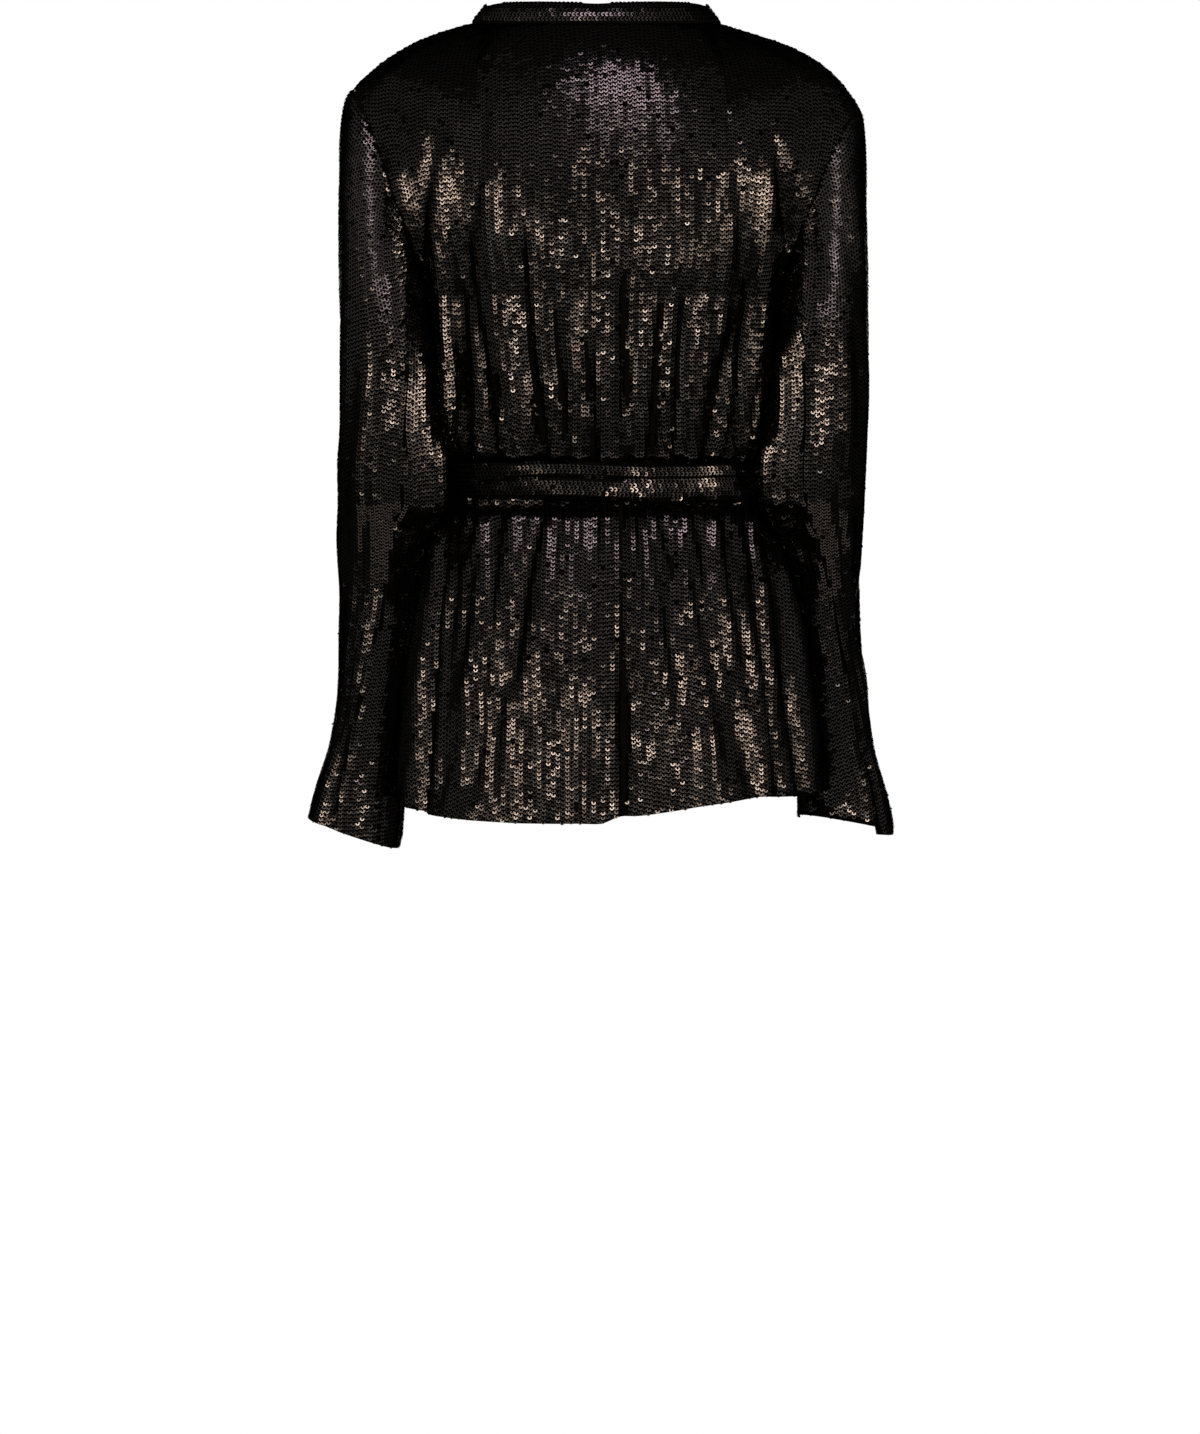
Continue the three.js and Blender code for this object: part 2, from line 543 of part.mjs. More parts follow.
// One ring of a sleeve at a height.
function sleevePoint(side, table, turn, z) {
  const inner = track(table, 'z', 'inner', z)
  const outerSide = track(table, 'z', 'outer', z)
  const angle = THREE.MathUtils.degToRad(turn + track(table, 'z', 'twist', z))
  const half = (outerSide - inner) / 2
  const deep = track(table, 'z', 'deep', z)
  let away = 0
  for (const fold of SLEEVE_FOLDS) {
    const apart = ((turn - fold.turn + 540) % 360 - 180) / fold.wide
    const fade = smooth(fold.upZ - z, 0, SLEEVE_FOLD_FADE) * smooth(z - fold.lowZ, 0, SLEEVE_FOLD_FADE)
    away += fold.deep * fade * Math.exp(-apart * apart)
  }
  const out = Math.cos(angle)
  return point(
    side * (inner + half + (half - away) * out),
    track(table, 'z', 'y', z) + (deep - away) * Math.sin(angle),
    z - track(table, 'z', 'drop', z) * out / 2)
}

// A sleeve: its cap leaves the armhole and bends down into the first ring.
function sleevePanels(name, side, table, folds) {
  const { capOut, capDrop } = side > 0 ? LEFT_SHOULDER : RIGHT_SHOULDER
  const hole = armhole(side, folds)
  const columns = hole.length
  const turns = hole.map((_, c) => c / columns * 360)
  const first = turns.map((turn) => sleevePoint(side, table, turn, SLEEVE_ROWS[0]))
  const cap = Array.from({ length: CAP_ROWS }, (_, r) => hole.map((start, c) => {
    const top = (1 + Math.cos(THREE.MathUtils.degToRad(turns[c]))) / 2
    const backwards = Math.sin(THREE.MathUtils.degToRad(turns[c]))
    const out = lerp(CAP.underOut, capOut, top)
    const down = lerp(CAP.underDrop, capDrop, top) + CAP.sideDrop * Math.abs(backwards)
    const leave = start.clone().add(point(side * out, CAP.sideOut * backwards, -down))
    const arrive = first[c].clone().add(point(0, 0, lerp(CAP.underRise, CAP.topRise, top)))
    return bend(start, leave, arrive, first[c], (r / CAP_ROWS) ** 0.9)
  }))
  const hem = table[table.length - 1].z
  const rings = SLEEVE_ROWS.slice(1).map((z) => turns.map((turn) => sleevePoint(side, table, turn, z)))
  const last = turns.map((turn) => sleevePoint(side, table, turn, hem))
  const outer = [...cap, first, ...rings, last].reverse()
  const inward = inwardWays(outer, -side, true)
  for (const way of inward[inward.length - 1]) way.setX(side * Math.max(side * way.x, 0)).normalize()
  const under = cutSleeve(outer, inward, BACK_SEAM_COLUMN, FRONT_SEAM_COLUMN)
  const top = cutSleeve(outer, inward, FRONT_SEAM_COLUMN, BACK_SEAM_COLUMN + columns)
  if (side < 0) {
    under.outer[0].forEach((p, c) => p.lerp(under.outer[1][c], RIGHT_CUFF_STEP))
    under.inward[0].forEach((way, c) => way.lerp(under.inward[1][c], RIGHT_CUFF_STEP))
  }
  return [
    clothWall(name + '_under', under.outer, under.inward),
    clothWall(name + '_top', top.outer, top.inward),
  ]
}

// One piece of a sleeve between two seam columns, drawn back by half a seam at each.
function cutSleeve(outer, inward, from, to) {
  const pick = (row, c) => row[c % row.length].clone()
  const columns = Array.from({ length: to - from + 1 }, (_, i) => from + i)
  const points = outer.map((row) => columns.map((c) => {
    const p = pick(row, c)
    const step = c === from ? 1 : c === to ? -1 : 0
    if (step === 0) return p
    const aim = pick(row, c + step + row.length).sub(p).normalize()
    return p.addScaledVector(aim, SEAM / 2)
  }))
  return { outer: points, inward: inward.map((row) => columns.map((c) => pick(row, c))) }
}

// A point of the collar over a front: across is 0 at its outer edge and 1 at the roll.
function lapelPoint(side, row, across, folds) {
  const edge = frontPoint(side, 1, row, folds)
  const fall = track(COLLAR_FALL, 'z', 'fall', edge.z)
  let share = 1
  let outerEdge = edge
  while (outerEdge.distanceTo(edge) < fall) {
    share -= LAPEL_STEP
    outerEdge = frontPoint(side, share, row, folds)
  }
  const here = lerp(share, 1, across)
  const p = frontPoint(side, here, row, folds)
  const beside = frontPoint(side, here - LAPEL_PROBE, row, folds)
  const level = row.up === 0
  const nextRow = level ? { z: row.z + WALL, up: 0 } : { z: row.z, up: row.up - LAPEL_PROBE }
  const near = frontPoint(side, here, nextRow, folds)
  const rise = level ? near.sub(p) : p.clone().sub(near)
  const away = p.clone().sub(beside).cross(rise).multiplyScalar(-side).normalize()
  const standing = smooth(edge.z, LAPEL_STAND_ENDS.lowZ, LAPEL_STAND_ENDS.highZ) * across ** 2
  const stand = lerp(LAPEL_STAND, COLLAR_ROLL.side, smooth(edge.z, -110, NECK_Z)) * standing
  const up = lerp(0, 1, smooth(edge.z, -60, 0))
  const lifted = p.addScaledVector(away, COLLAR_CLEAR + WALL + stand * (1 - up))
  lifted.z += stand * up
  return lifted
}

// A point of the collar behind the neck, from its lower edge up to the roll.
function collarBackPoint(turn, across) {
  const angle = turn * Math.PI / 2
  const round = Math.cos(angle)
  const fall = lerp(COLLAR_FALL[COLLAR_FALL.length - 1].fall, COLLAR_BACK_FALL, round)
  const away = point(Math.sin(angle), round, 0)
  const slope = COLLAR_BACK_SLOPE * round
  const out = point(away.x * slope, away.y * slope, 1).normalize()
  const neck = neckline(angle)
  const edge = neck.clone().addScaledVector(away, fall)
  edge.z -= slope * fall
  edge.addScaledVector(out, COLLAR_CLEAR + WALL)
  const swell = COLLAR_ROLL.swell * Math.sin(2 * Math.abs(angle))
  const height = lerp(COLLAR_ROLL.side, COLLAR_ROLL.middle, round) + swell
  const roll = neck.clone().add(point(0, 0, height)).addScaledVector(away, 1 - 3 * round)
  const bow = Math.sin(across * Math.PI) * COLLAR_BOW
  return edge.lerp(roll, across).addScaledVector(away, bow)
}

function collar() {
  const acrosses = [0, 0.33, 0.67, 1]
  const lapel = (side, folds, endZ) => ROWS
    .filter((row) => row.z >= endZ)
    .map((row) => acrosses.map((across) => lapelPoint(side, row, across, folds)))
  const places = Array.from({ length: COLLAR_BACK_COLUMNS - 1 }, (_, i) => (i + 1) / COLLAR_BACK_COLUMNS)
  const behind = places.map((place) => acrosses.map((across) => collarBackPoint(1 - place * 2, across)))
  const outer = [
    ...lapel(1, LEFT_FOLDS, LEFT_LAPEL_END_Z),
    ...behind,
    ...lapel(-1, RIGHT_FOLDS, BELT_TOP_Z + LAPEL_END_ABOVE_BELT).reverse(),
  ]
  return clothWall('collar', outer, inwardWays(outer, 1))
}

// Outer surface of the belt's place round the body, clear of the wrapped fronts.
function beltBase(turn, z, out) {
  const wrap = turn > 2 ? 4 - turn : Math.abs(turn)
  const lift = WRAP_LIFT * smooth(wrap, BELT_LIFT_TURNS.start, BELT_LIFT_TURNS.full)
  const away = BELT_CLEAR + WALL + BELT_EASE + lift + out
  return sink(bodyPoint(turn, (BELT_TOP_Z + BELT_LOW_Z) / 2), -away).setZ(z)
}

function belt() {
  const height = BELT_TOP_Z - BELT_LOW_Z
  const turns = Array.from({ length: BELT_COLUMNS }, (_, c) => c / BELT_COLUMNS * 4)
  const outer = Array.from({ length: BELT_ROWS + 1 }, (_, r) => {
    const rib = r % 2 === 1 ? BELT_PLEAT : 0
    return turns.map((turn) => beltBase(turn, BELT_LOW_Z + height * r / BELT_ROWS, rib))
  })
  return clothWall('belt', outer, inwardWays(outer, 1, true), true)
}

// The knot: a round bundle of cloth on the front of the belt.
function knot() {
  const geometry = new THREE.SphereGeometry(1, KNOT_COLUMNS, KNOT_ROWS)
  const base = beltBase(2, 0, BELT_PLEAT).y
  const source = geometry.getAttribute('position')
  const positions = []
  const seen = new Map()
  const remap = []
  for (let i = 0; i < source.count; i += 1) {
    const p = point(source.getX(i), source.getY(i), source.getZ(i))
    const key = [p.x, p.y, p.z].map((v) => v.toFixed(4).replace('-0.0000', '0.0000')).join()
    if (!seen.has(key)) {
      seen.set(key, positions.length / 3)
      const square = (v) => Math.sign(v) * Math.abs(v) ** KNOT.squareness
      positions.push(
        KNOT.x + square(p.x) * KNOT.width / 2,
        base - SEAM - KNOT.depth / 2 + square(p.y) * KNOT.depth / 2,
        (BELT_TOP_Z + BELT_LOW_Z) / 2 + square(p.z) * KNOT.height / 2)
    }
    remap.push(seen.get(key))
  }
  const index = []
  const faces = geometry.getIndex().array
  for (let i = 0; i < faces.length; i += 3) {
    const [a, b, c] = [remap[faces[i]], remap[faces[i + 1]], remap[faces[i + 2]]]
    if (a !== b && b !== c && a !== c) index.push(a, b, c)
  }
  return clothMesh('belt_knot', positions, index)
}

// One hanging end of the belt, laid on the right front just under the knot.
function beltEnd({ name, topX, lowX, lowZ }) {
  const topZ = (BELT_TOP_Z + BELT_LOW_Z - KNOT.height) / 2 - END_CLEAR
  const outer = Array.from({ length: END_ROWS + 1 }, (_, r) => {
    const down = 1 - r / END_ROWS
    const z = lerp(topZ, lowZ, down)
    return [-1, -0.5, 0, 0.5, 1].map((across, c) => {
      const x = lerp(topX, lowX, down) + across * END_WIDTH / 2
      const turn = 2 - Math.asin(x / halfWidth(z, x)) * 2 / Math.PI
      const base = bodyPoint(turn, z)
      const near = beltBase(2, 0, 0).y
      const out = WRAP_LIFT + WALL + END_LIFT + (c % 2 === 1 ? BELT_PLEAT : 0)
      const p = sink(base, -out)
      const behindKnot = smooth(down, 0, END_LEAVES.share)
      return p.setY(Math.min(p.y, near + lerp(END_LEAVES.topY, END_LEAVES.lowY, behindKnot)))
    })
  })
  return clothWall(name, outer, inwardWays(outer, -1))
}

const group = new THREE.Group()
group.add(
  backPanel(),
  frontPanel('front_left', 1, LEFT_FOLDS),
  frontPanel('front_right', -1, RIGHT_FOLDS),
  collar(),
  ...sleevePanels('sleeve_left', 1, LEFT_SLEEVE, LEFT_FOLDS),
  ...sleevePanels('sleeve_right', -1, RIGHT_SLEEVE, RIGHT_FOLDS),
  belt(),
  knot(),
  ...BELT_ENDS.map(beltEnd),
)

export default group
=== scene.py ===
"""A belted wrap blazer of black sequinned cloth, seen from behind, as it is worn.

The cloth follows the same sections, folds and seams as the solids, with finer creases between them.
Lengths are in millimetres until a mesh is made.
"""
import math

import bpy
import numpy as np
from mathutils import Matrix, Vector


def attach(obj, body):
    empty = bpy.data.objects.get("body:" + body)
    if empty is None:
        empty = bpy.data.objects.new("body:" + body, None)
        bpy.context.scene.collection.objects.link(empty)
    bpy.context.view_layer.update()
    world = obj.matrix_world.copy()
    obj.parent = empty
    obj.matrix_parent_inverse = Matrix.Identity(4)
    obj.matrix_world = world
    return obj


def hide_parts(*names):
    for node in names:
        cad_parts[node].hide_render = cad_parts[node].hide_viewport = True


MM = 0.001

# Camera behind the garment, as the photograph was taken.
CAMERA_AT = (0.0, 3.6, -0.385)
CAMERA_AIM = (0.003, 0.0, -0.592)
PIXEL_MM = 0.855
PHOTO_HEIGHT = 1434
SENSOR_MM = 36

# Cloth: the shell's thickness, the gaps at an armhole and at a sewn side, and the solid's wall.
SHELL = 0.9
SEAM = 0.3
SEWN_GAP = 0.04
WALL = 2

# Sequins, in columns. Each leans out at its lower edge, and a few are loose and turn further. A column
# starts lower than the last by a share of a row, and each sequin is a little off its place.
SEQUIN_RADIUS = 1.9
SEQUIN_SIDES = 8
ROW_PITCH = 3.5
COLUMN_PITCH = 3.9
SEQUIN_LIFT = 0.45
LEAN = math.radians(5)
WOBBLE = math.radians(2.2)
LOOSE_SHARE = 0.03
LOOSE_TURN = 5
SEQUIN_TURN = 0.22
COLUMN_STEP = (0.2, 0.6)
PLACE_SPREAD = 0.1
EDGE_MARGIN = 0.7
SHORTEST_RUN = 3
DISC_SEED = 500

# Where the sleeves hang against the body the sequins crowd and stand up, so they face further back:
# distances from the middle over which this starts and ends, on the body and on the sleeve, and heights.
# It holds for sequins that face a little backward and well to the side.
CROWDED_BODY = (121, 131, 137, 143)
CROWDED_SLEEVE = (146, 154, 170, 184)
CROWDED_HEIGHTS = (-690, -640, -150, -110)
CROWDED_TURN = 0.85
CROWDED_SKIRT = 0.35
CROWDED_LIFT = 0.5
CROWDED_BACKWARD = (0, 0.3)
CROWDED_SIDEWAYS = (0.3, 0.6)

# Sequins leave out the bottom of a tight fold: how far and how sharply it turns.
TIGHT_REACH = 3
TIGHT_TURN = math.radians(40)

# Heights of the main levels, and the neck opening.
UNDERARM_Z = -235
BELT_TOP_Z = -376
BELT_LOW_Z = -408
BELT_MIDDLE_Z = (BELT_TOP_Z + BELT_LOW_Z) / 2
HEM_Z = -681
NECK_X = 93
NECK_SHIFT = 6
NECK_SEAM_Y = 5
NECK_BACK_Y = 62
NECK_BACK_Z = -4
NECK_SHARE = 0.45
LEFT_SHOULDER = {"x": 212, "z": -58, "slope": 0.46, "power": 3, "cap_out": 21, "cap_drop": 7}
RIGHT_SHOULDER = {"x": 219, "z": -78, "slope": 0.5, "power": 5, "cap_out": 7, "cap_drop": 20}


def table(names, *rows):
    """Rows sorted by their first column, as one array for each named column."""
    ordered = np.array(sorted(rows), float)
    return {name: ordered[:, i] for i, name in enumerate(names.split())}


# Body sections: half widths on each side of the middle, and depths behind and before it.
BODY = table(
    "z left right back front",
    (-235, 149, 149, 110, 100),
    (-300, 146, 146, 106, 97),
    (-340, 143, 141, 102, 93),
    (-360, 140, 139, 97, 88),
    (-370, 136, 136, 91, 84),
    (-377, 131, 131, 83, 78),
    (-392, 130, 130, 82, 77),
    (-410, 131, 131.5, 83, 78),
    (-420, 141, 141, 92, 86),
    (-450, 152, 156, 105, 95),
    (-500, 163, 169, 117, 105),
    (-560, 172, 180, 127, 113),
    (-620, 176, 188, 133, 119),
    (-681, 178, 193, 137, 123),
)
SQUARENESS = 0.04
ARMHOLE_WIDTHS = table("z half", (-235, 149), (-172, 163), (-112, 186), (-58, 212))

# Control points of the upper panels between the underarm and the shoulder seam.
BACK_MIDDLE = {"low_y": 123, "low_z": -150, "high_y": 106, "high_z": -46}
BACK_ARMHOLE = {"low_x": 146, "low_y": 56, "low_z": -230, "high_x": 202, "high_y": 58, "high_z": -69}
FRONT_ARMHOLE = {"low_x": 146, "low_y": -50, "low_z": -230, "high_x": 200, "high_y": -50, "high_z": -72}
FRONT_NECK = {"low_x": 46, "low_y": -100, "low_z": -172, "high_x": 84, "high_y": -62, "high_z": -52}
CHEST_FULLNESS = 14
FRONT_EDGES = table("z x", (-235, 22), (-300, -14), (-376, -50), (-450, -58), (-681, -66))
WRAP_LIFT = 6
WRAP_TURNS = (1.25, 1.6)

BACK_HEM = table(
    "x z", (-193, -653), (-150, -652), (-83, -659), (-32, -666), (-14, -667),
    (4, -673), (60, -673), (138, -670), (178, -664),
)
FRONT_HEM = table("x z", (0, -674), (90, -670), (178, -664), (193, -653))
HEM_STARTS_Z = -560

# Folds, each a trough from its upper end to its lower end:
# up_x, up_z, up_deep, low_x, low_z, low_deep, and wide, which is half the width.
BACK_FOLDS = (
    (160, -105, 2, 146, -392, 7, 11),
    (121, -94, 3, 112, -392, 9, 12),
    (106, -225, 4, 88, -392, 9, 10),
    (72, -178, 6, 53, -392, 17, 9),
    (42, -230, 3, 32, -392, 12, 5.5),
    (18, -200, 4, 10, -392, 13, 6),
    (-17, -200, 4, -22, -392, 13, 6),
    (-48, -230, 4, -41, -392, 12, 5),
    (-66, -225, 4, -59, -392, 12, 5.5),
    (-108, -262, 9, -84, -392, 18, 14),
    (-122, -150, 2, -112, -392, 9, 10),
    (-163, -118, 6, -142, -392, 10, 12),
    (122, -392, 9, 133, -650, 9, 15),
    (86, -392, 9, 104, -640, 7, 13),
    (50, -392, 13, 86, -600, 4, 11),
    (27, -392, 8, 23, -681, 7, 10),
    (9, -392, 13, 6, -530, 5, 9),
    (-15, -400, 6, -18, -760, 9, 3.6),
    (-45, -392, 11, -70, -580, 5, 11),
    (-76, -392, 10, -100, -600, 5, 12),
    (-108, -392, 9, -120, -640, 7, 13),
    (-134, -392, 9, -170, -681, 14, 16),
    (134, -412, 7, 152, -690, 9, 7),
    (-122, -412, 6, -146, -690, 8, 7),
)
LEFT_FOLDS = (
    (128, -200, 3, 116, -392, 9, 12),
    (104, -240, 3, 90, -392, 9, 11),
    (88, -190, 4, 62, -392, 11, 12),
    (50, -260, 2, 34, -392, 8, 10),
    (118, -392, 9, 132, -660, 9, 15),
    (84, -392, 10, 100, -700, 9, 14),
    (52, -392, 9, 66, -620, 5, 12),
)
RIGHT_FOLDS = (
    (124, -180, 3, 112, -392, 10, 12),
    (100, -230, 4, 84, -392, 9, 11),
    (74, -205, 3, 54, -392, 10, 11),
    (20, -310, 1, 12, -392, 3, 10),
    (122, -392, 10, 142, -690, 12, 15),
    (90, -392, 8, 108, -640, 6, 13),
    (58, -392, 9, 74, -700, 8, 13),
)

# Finer creases between the folds, with the same columns.
BACK_CREASES = (
    (138, -300, 1, 130, -392, 4, 5),
    (132, -190, 1.5, 122, -330, 2, 6),
    (98, -268, 1.5, 101, -392, 4, 5),
    (88, -140, 1, 78, -300, 2.5, 7),
    (84, -310, 1, 71, -392, 5, 5),
    (60, -300, 1, 42, -392, 4, 5),
    (34, -160, 1, 26, -330, 2, 6),
    (28, -325, 1, 21, -392, 4, 4.5),
    (0, -250, 1.5, -3, -392, 4, 5),
    (-10, -330, 1, -13, -392, 4, 4.5),
    (-34, -180, 1, -32, -392, 3.5, 5),
    (-58, -310, 1, -49, -392, 4, 4.5),
    (-78, -190, 1.5, -70, -392, 5, 6),
    (-92, -130, 1, -90, -250, 2, 7),
    (-112, -320, 1, -98, -392, 4, 5),
    (-136, -290, 1, -127, -392, 4, 5),
    (-148, -180, 2, -134, -320, 2, 6),
    (134, -392, 4, 146, -520, 1, 6),
    (108, -392, 5, 116, -540, 1.5, 6),
    (99, -392, 4, 92, -500, 1, 5),
    (68, -392, 5, 74, -560, 1.5, 6),
    (38, -392, 5, 44, -520, 1.5, 5),
    (18, -392, 4, 15, -480, 1, 4.5),
    (-5, -392, 5, -4, -560, 2, 6),
    (-31, -392, 5, -36, -540, 1.5, 6),
    (-60, -392, 5, -58, -500, 1, 5),
    (-90, -392, 5, -84, -520, 1.5, 6),
    (-100, -392, 4, -108, -500, 1, 5),
    (-121, -392, 5, -140, -560, 1.5, 6),
    (92, -560, 1, 84, -700, 3.5, 11),
    (60, -540, 1, 52, -700, 4, 13),
    (0, -600, 1, -1, -700, 4, 6),
    (-42, -560, 1, -44, -700, 4, 11),
    (-78, -600, 1, -82, -700, 3.5, 12),
    (-112, -590, 1, -138, -700, 4, 10),
    (150, -500, 1, 158, -700, 5, 11),
)
FRONT_CREASES = (
    (136, -300, 1, 128, -392, 4, 5),
    (112, -200, 1, 102, -392, 4, 5),
    (82, -270, 1, 76, -392, 4, 5),
    (62, -300, 1, 48, -392, 4, 5),
    (22, -330, 1, 18, -392, 3, 5),
    (130, -392, 4, 146, -520, 1, 6),
    (104, -392, 5, 112, -560, 1.5, 6),
    (68, -392, 4, 80, -520, 1, 5),
    (36, -392, 5, 44, -560, 1.5, 6),
    (118, -560, 1, 118, -700, 4, 11),
    (40, -540, 1, 34, -700, 4, 12),
)
FOLD_FADE = 34
BELT_PINCH = 0.8
CALM_SWELL = 0.25
CALM_HEIGHTS = (-170, -100)
PINCH_REACH = 34
FOLD_RADIUS = 120
FOLD_SHARPNESS = 0.85
FOLD_ROUNDING = 0.02
FOLD_TAPER = (0.85, 1.2)
NARROW_FOLD = 8
SECTION_WIDE = 150
SECTION_DEEP = 105

# Places without folds: beside the armhole from a height up, and under the lapels.
ARMHOLE_PLAIN = (0.88, 1)
ARMHOLE_PLAIN_Z = -300
LAPEL_PLAIN = (0.6, 0.8)
LAPEL_PLAIN_HEIGHTS = (-320, -250)

# The swell of the cloth: how many waves, their lengths, how far they turn, and its size. It dies away
# over a share of the rows and columns at the edges. Sleeve edges are turned in at their seams.
RIPPLE_WAVES = 9
RIPPLE_LENGTHS = (13, 42)
RIPPLE_SPREAD = 0.45
BODY_SWELL = 0.7
SLEEVE_SWELL = 0.9
SWELL_EDGES = (0.02, 0.03)
SWELL_STRETCH = 0.35
EDGE_ROLL = 1.3
EDGE_ROLL_REACH = 4.5

# Sleeve rings: the inner and outer side, the middle and half depth, how far the outer side hangs lower.
SLEEVE_COLUMNS = "z inner outer y deep drop twist"
LEFT_SLEEVE = table(
    SLEEVE_COLUMNS,
    (-300, 141.5, 223, 24, 56, 0, -10),
    (-345, 136, 223.5, 24, 54, 0, -18),
    (-375, 128.5, 226, 22, 52, 0, -23),
    (-405, 127.5, 227, 15, 51, 0, -25),
    (-425, 135, 227.5, 0, 50, 0, -25),
    (-455, 147, 228, -20, 49, 0, -25),
    (-500, 156, 229, -42, 49, 0, -28),
    (-560, 163, 232, -62, 49, -4, -36),
    (-620, 171, 241, -76, 49, -12, -46),
    (-660, 175, 251, -81, 50, -20, -47),
    (-697, 179, 259, -83, 52, -27, -44),
)
RIGHT_SLEEVE = table(
    SLEEVE_COLUMNS,
    (-300, 141.5, 225, 24, 56, 0, -14),
    (-345, 136, 224, 24, 54, 0, -20),
    (-375, 128.5, 223.5, 22, 52, 0, -24),
    (-405, 127.5, 222.5, 15, 51, 0, -27),
    (-425, 136, 222, 1, 50, 0, -28),
    (-455, 151, 222, -23, 49, 0, -30),
    (-500, 159, 222, -49, 49, 0, -36),
    (-560, 164, 231, -74, 49, 3, -44),
    (-620, 168, 240, -93, 49, 6, -54),
    (-655, 170, 249, -98, 49, 9, -60),
    (-693, 171, 255, -100, 50, 14, -63),
)
SLEEVE_TOP_Z = -300
CAP = {"under_out": 2.5, "under_drop": 16, "side_out": 9, "side_drop": 14, "under_rise": 20, "top_rise": 96}
BACK_SEAM_TURN = 120
FRONT_SEAM_TURN = 240
UNDERARM_TURNS = (176, 184)
CAP_SPREAD = 0.9
RIGHT_CUFF_STEP = 10.3

# Sleeve folds: place round the ring in degrees, upper and lower end, depth and half width.
SLEEVE_FOLDS = (
    (62, -120, -690, 4, 22),
    (140, -240, -520, 5, 20),
    (330, -140, -690, 4, 22),
    (225, -300, -650, 4, 20),
    (20, -180, -560, 2.5, 11),
    (95, -330, -650, 2.5, 10),
    (300, -260, -600, 2.5, 11),
    (185, -330, -690, 2.5, 11),
    (40, -560, -740, 2.5, 12),
    (110, -580, -740, 3, 12),
)
SLEEVE_FOLD_FADE = 60
SLEEVE_SQUARENESS = 0.7

# Collar, in strips of a few points across. Its outer edge rests on the cloth at the neck.
COLLAR_ACROSS = np.array([0, 0.33, 0.67, 1])
COLLAR_STRIPS = 15
COLLAR_FALL = table("z fall", (-365, 14), (-300, 34), (-200, 48), (-120, 40), (-50, 24), (2, 12))
COLLAR_BACK_FALL = 6
COLLAR_BACK_SLOPE = 1.1
COLLAR_ROLL = {"middle": 11.5, "side": 10, "swell": 2.5}
COLLAR_CLEAR = 1
COLLAR_EDGE_LIFT = 1.2
COLLAR_SIDE_DROP = 2.4
COLLAR_REST_HEIGHTS = (-230, -150)
COLLAR_BOW = 2
COLLAR_LEAN = 3
LAPEL_STAND = 4
LAPEL_LEVELS = (-358, -330, -300, -266)
LAPEL_ROWS = 10
LAPEL_SHARES = 1 - np.arange(176) * 0.004
LAPEL_BESIDE = 0.02
LAPEL_LIFTS_Z = (-270, -190)
LAPEL_STANDS_Z = (-110, 0)
LAPEL_TURNS_UP_Z = (-60, 0)
LEFT_LAPEL_END_Z = -330
RIGHT_LAPEL_END_Z = -368

# Belt: where it lies, its rolled edges, the knot, and the two ends, which hang from the knot and wave.
BELT_CLEAR = 0.9
BELT_EASE = 1.4
BELT_LIFT_TURNS = (1.15, 1.5)
BELT_SINK = 0.5
BELT_EDGE = {"roll": 2.2, "reach": 0.1, "low": 1.2, "top": 1, "lift": 2.5, "lift_from": -0.3, "lift_to": 0.9}
KNOT = {"x": 6, "width": 42, "height": 38, "depth": 18, "squareness": 0.7, "tilt": 1.45, "clear": 1.1}
KNOT_CREASE = {"deep": 0.07, "wide": 0.16, "slant": 1.4}
END_WIDTH = 26
END = {"slant": 9, "narrow": 0.62, "opens_at": 0.35, "sway": 2.5, "pleat": 1.5, "pleats": 1.5, "fading": 0.6}
END_CLEAR = 2.8
END_SWAYS = 5
END_WAVE = {"size": 1.6, "down": 9, "across": 1.3, "from": 0.1, "to": 0.5}
END_STANDS = (-4, 8, 0.3)
BELT_ENDS = (("left", 19, 44, -602, 700), ("right", -9, -30, -628, 800))
BELT_PLEATS = 2
BELT_PLEAT_DEPTH = 2.6
BELT_PLEAT = {"rises": 0.22, "falls_from": 0.3, "fall": 0.55, "crowding": 1.25}
BELT_CROSSINGS = ((0.3, 0.95), (2.2, 3.0))
BELT_TIP = 14
BELT_TIP_TURNS = (0.1, 0.5, 1.0, 1.3)

# Waves round the belt and the knot: size, how many in a turn, and phase.
BELT_WANDER = ((0.07, 3, 0.8), (0.04, 7, 2))
BELT_LOW_WAVE = ((0.8, 5, 0),)
BELT_TOP_WAVE = ((0.9, 4, 1),)
BELT_PUCKER = ((0.35, 11, 0),)
BELT_PUCKER_SLANT = 5
KNOT_WAVE = ((0.05, 2, 0),)
KNOT_WAVE_SLANT = 7

# Rows and columns of each grid of points: first the cloth's, then the finer one that sequins are laid on.
BODY_ROWS = ((110, 50), (220, 110))
BACK_COLUMNS = (190, 760)
FRONT_COLUMNS = (90, 360)
SLEEVE_ROWS = ((18, 100), (40, 200))
SLEEVE_TOP_COLUMNS = (60, 240)
SLEEVE_UNDER_COLUMNS = (32, 130)
COLLAR_GRIDS = ((260, 12), (520, 60))
BELT_GRIDS = ((360, 30), (720, 90))
KNOT_GRIDS = ((72, 40), (200, 120))
END_GRIDS = ((90, 16), (300, 60))

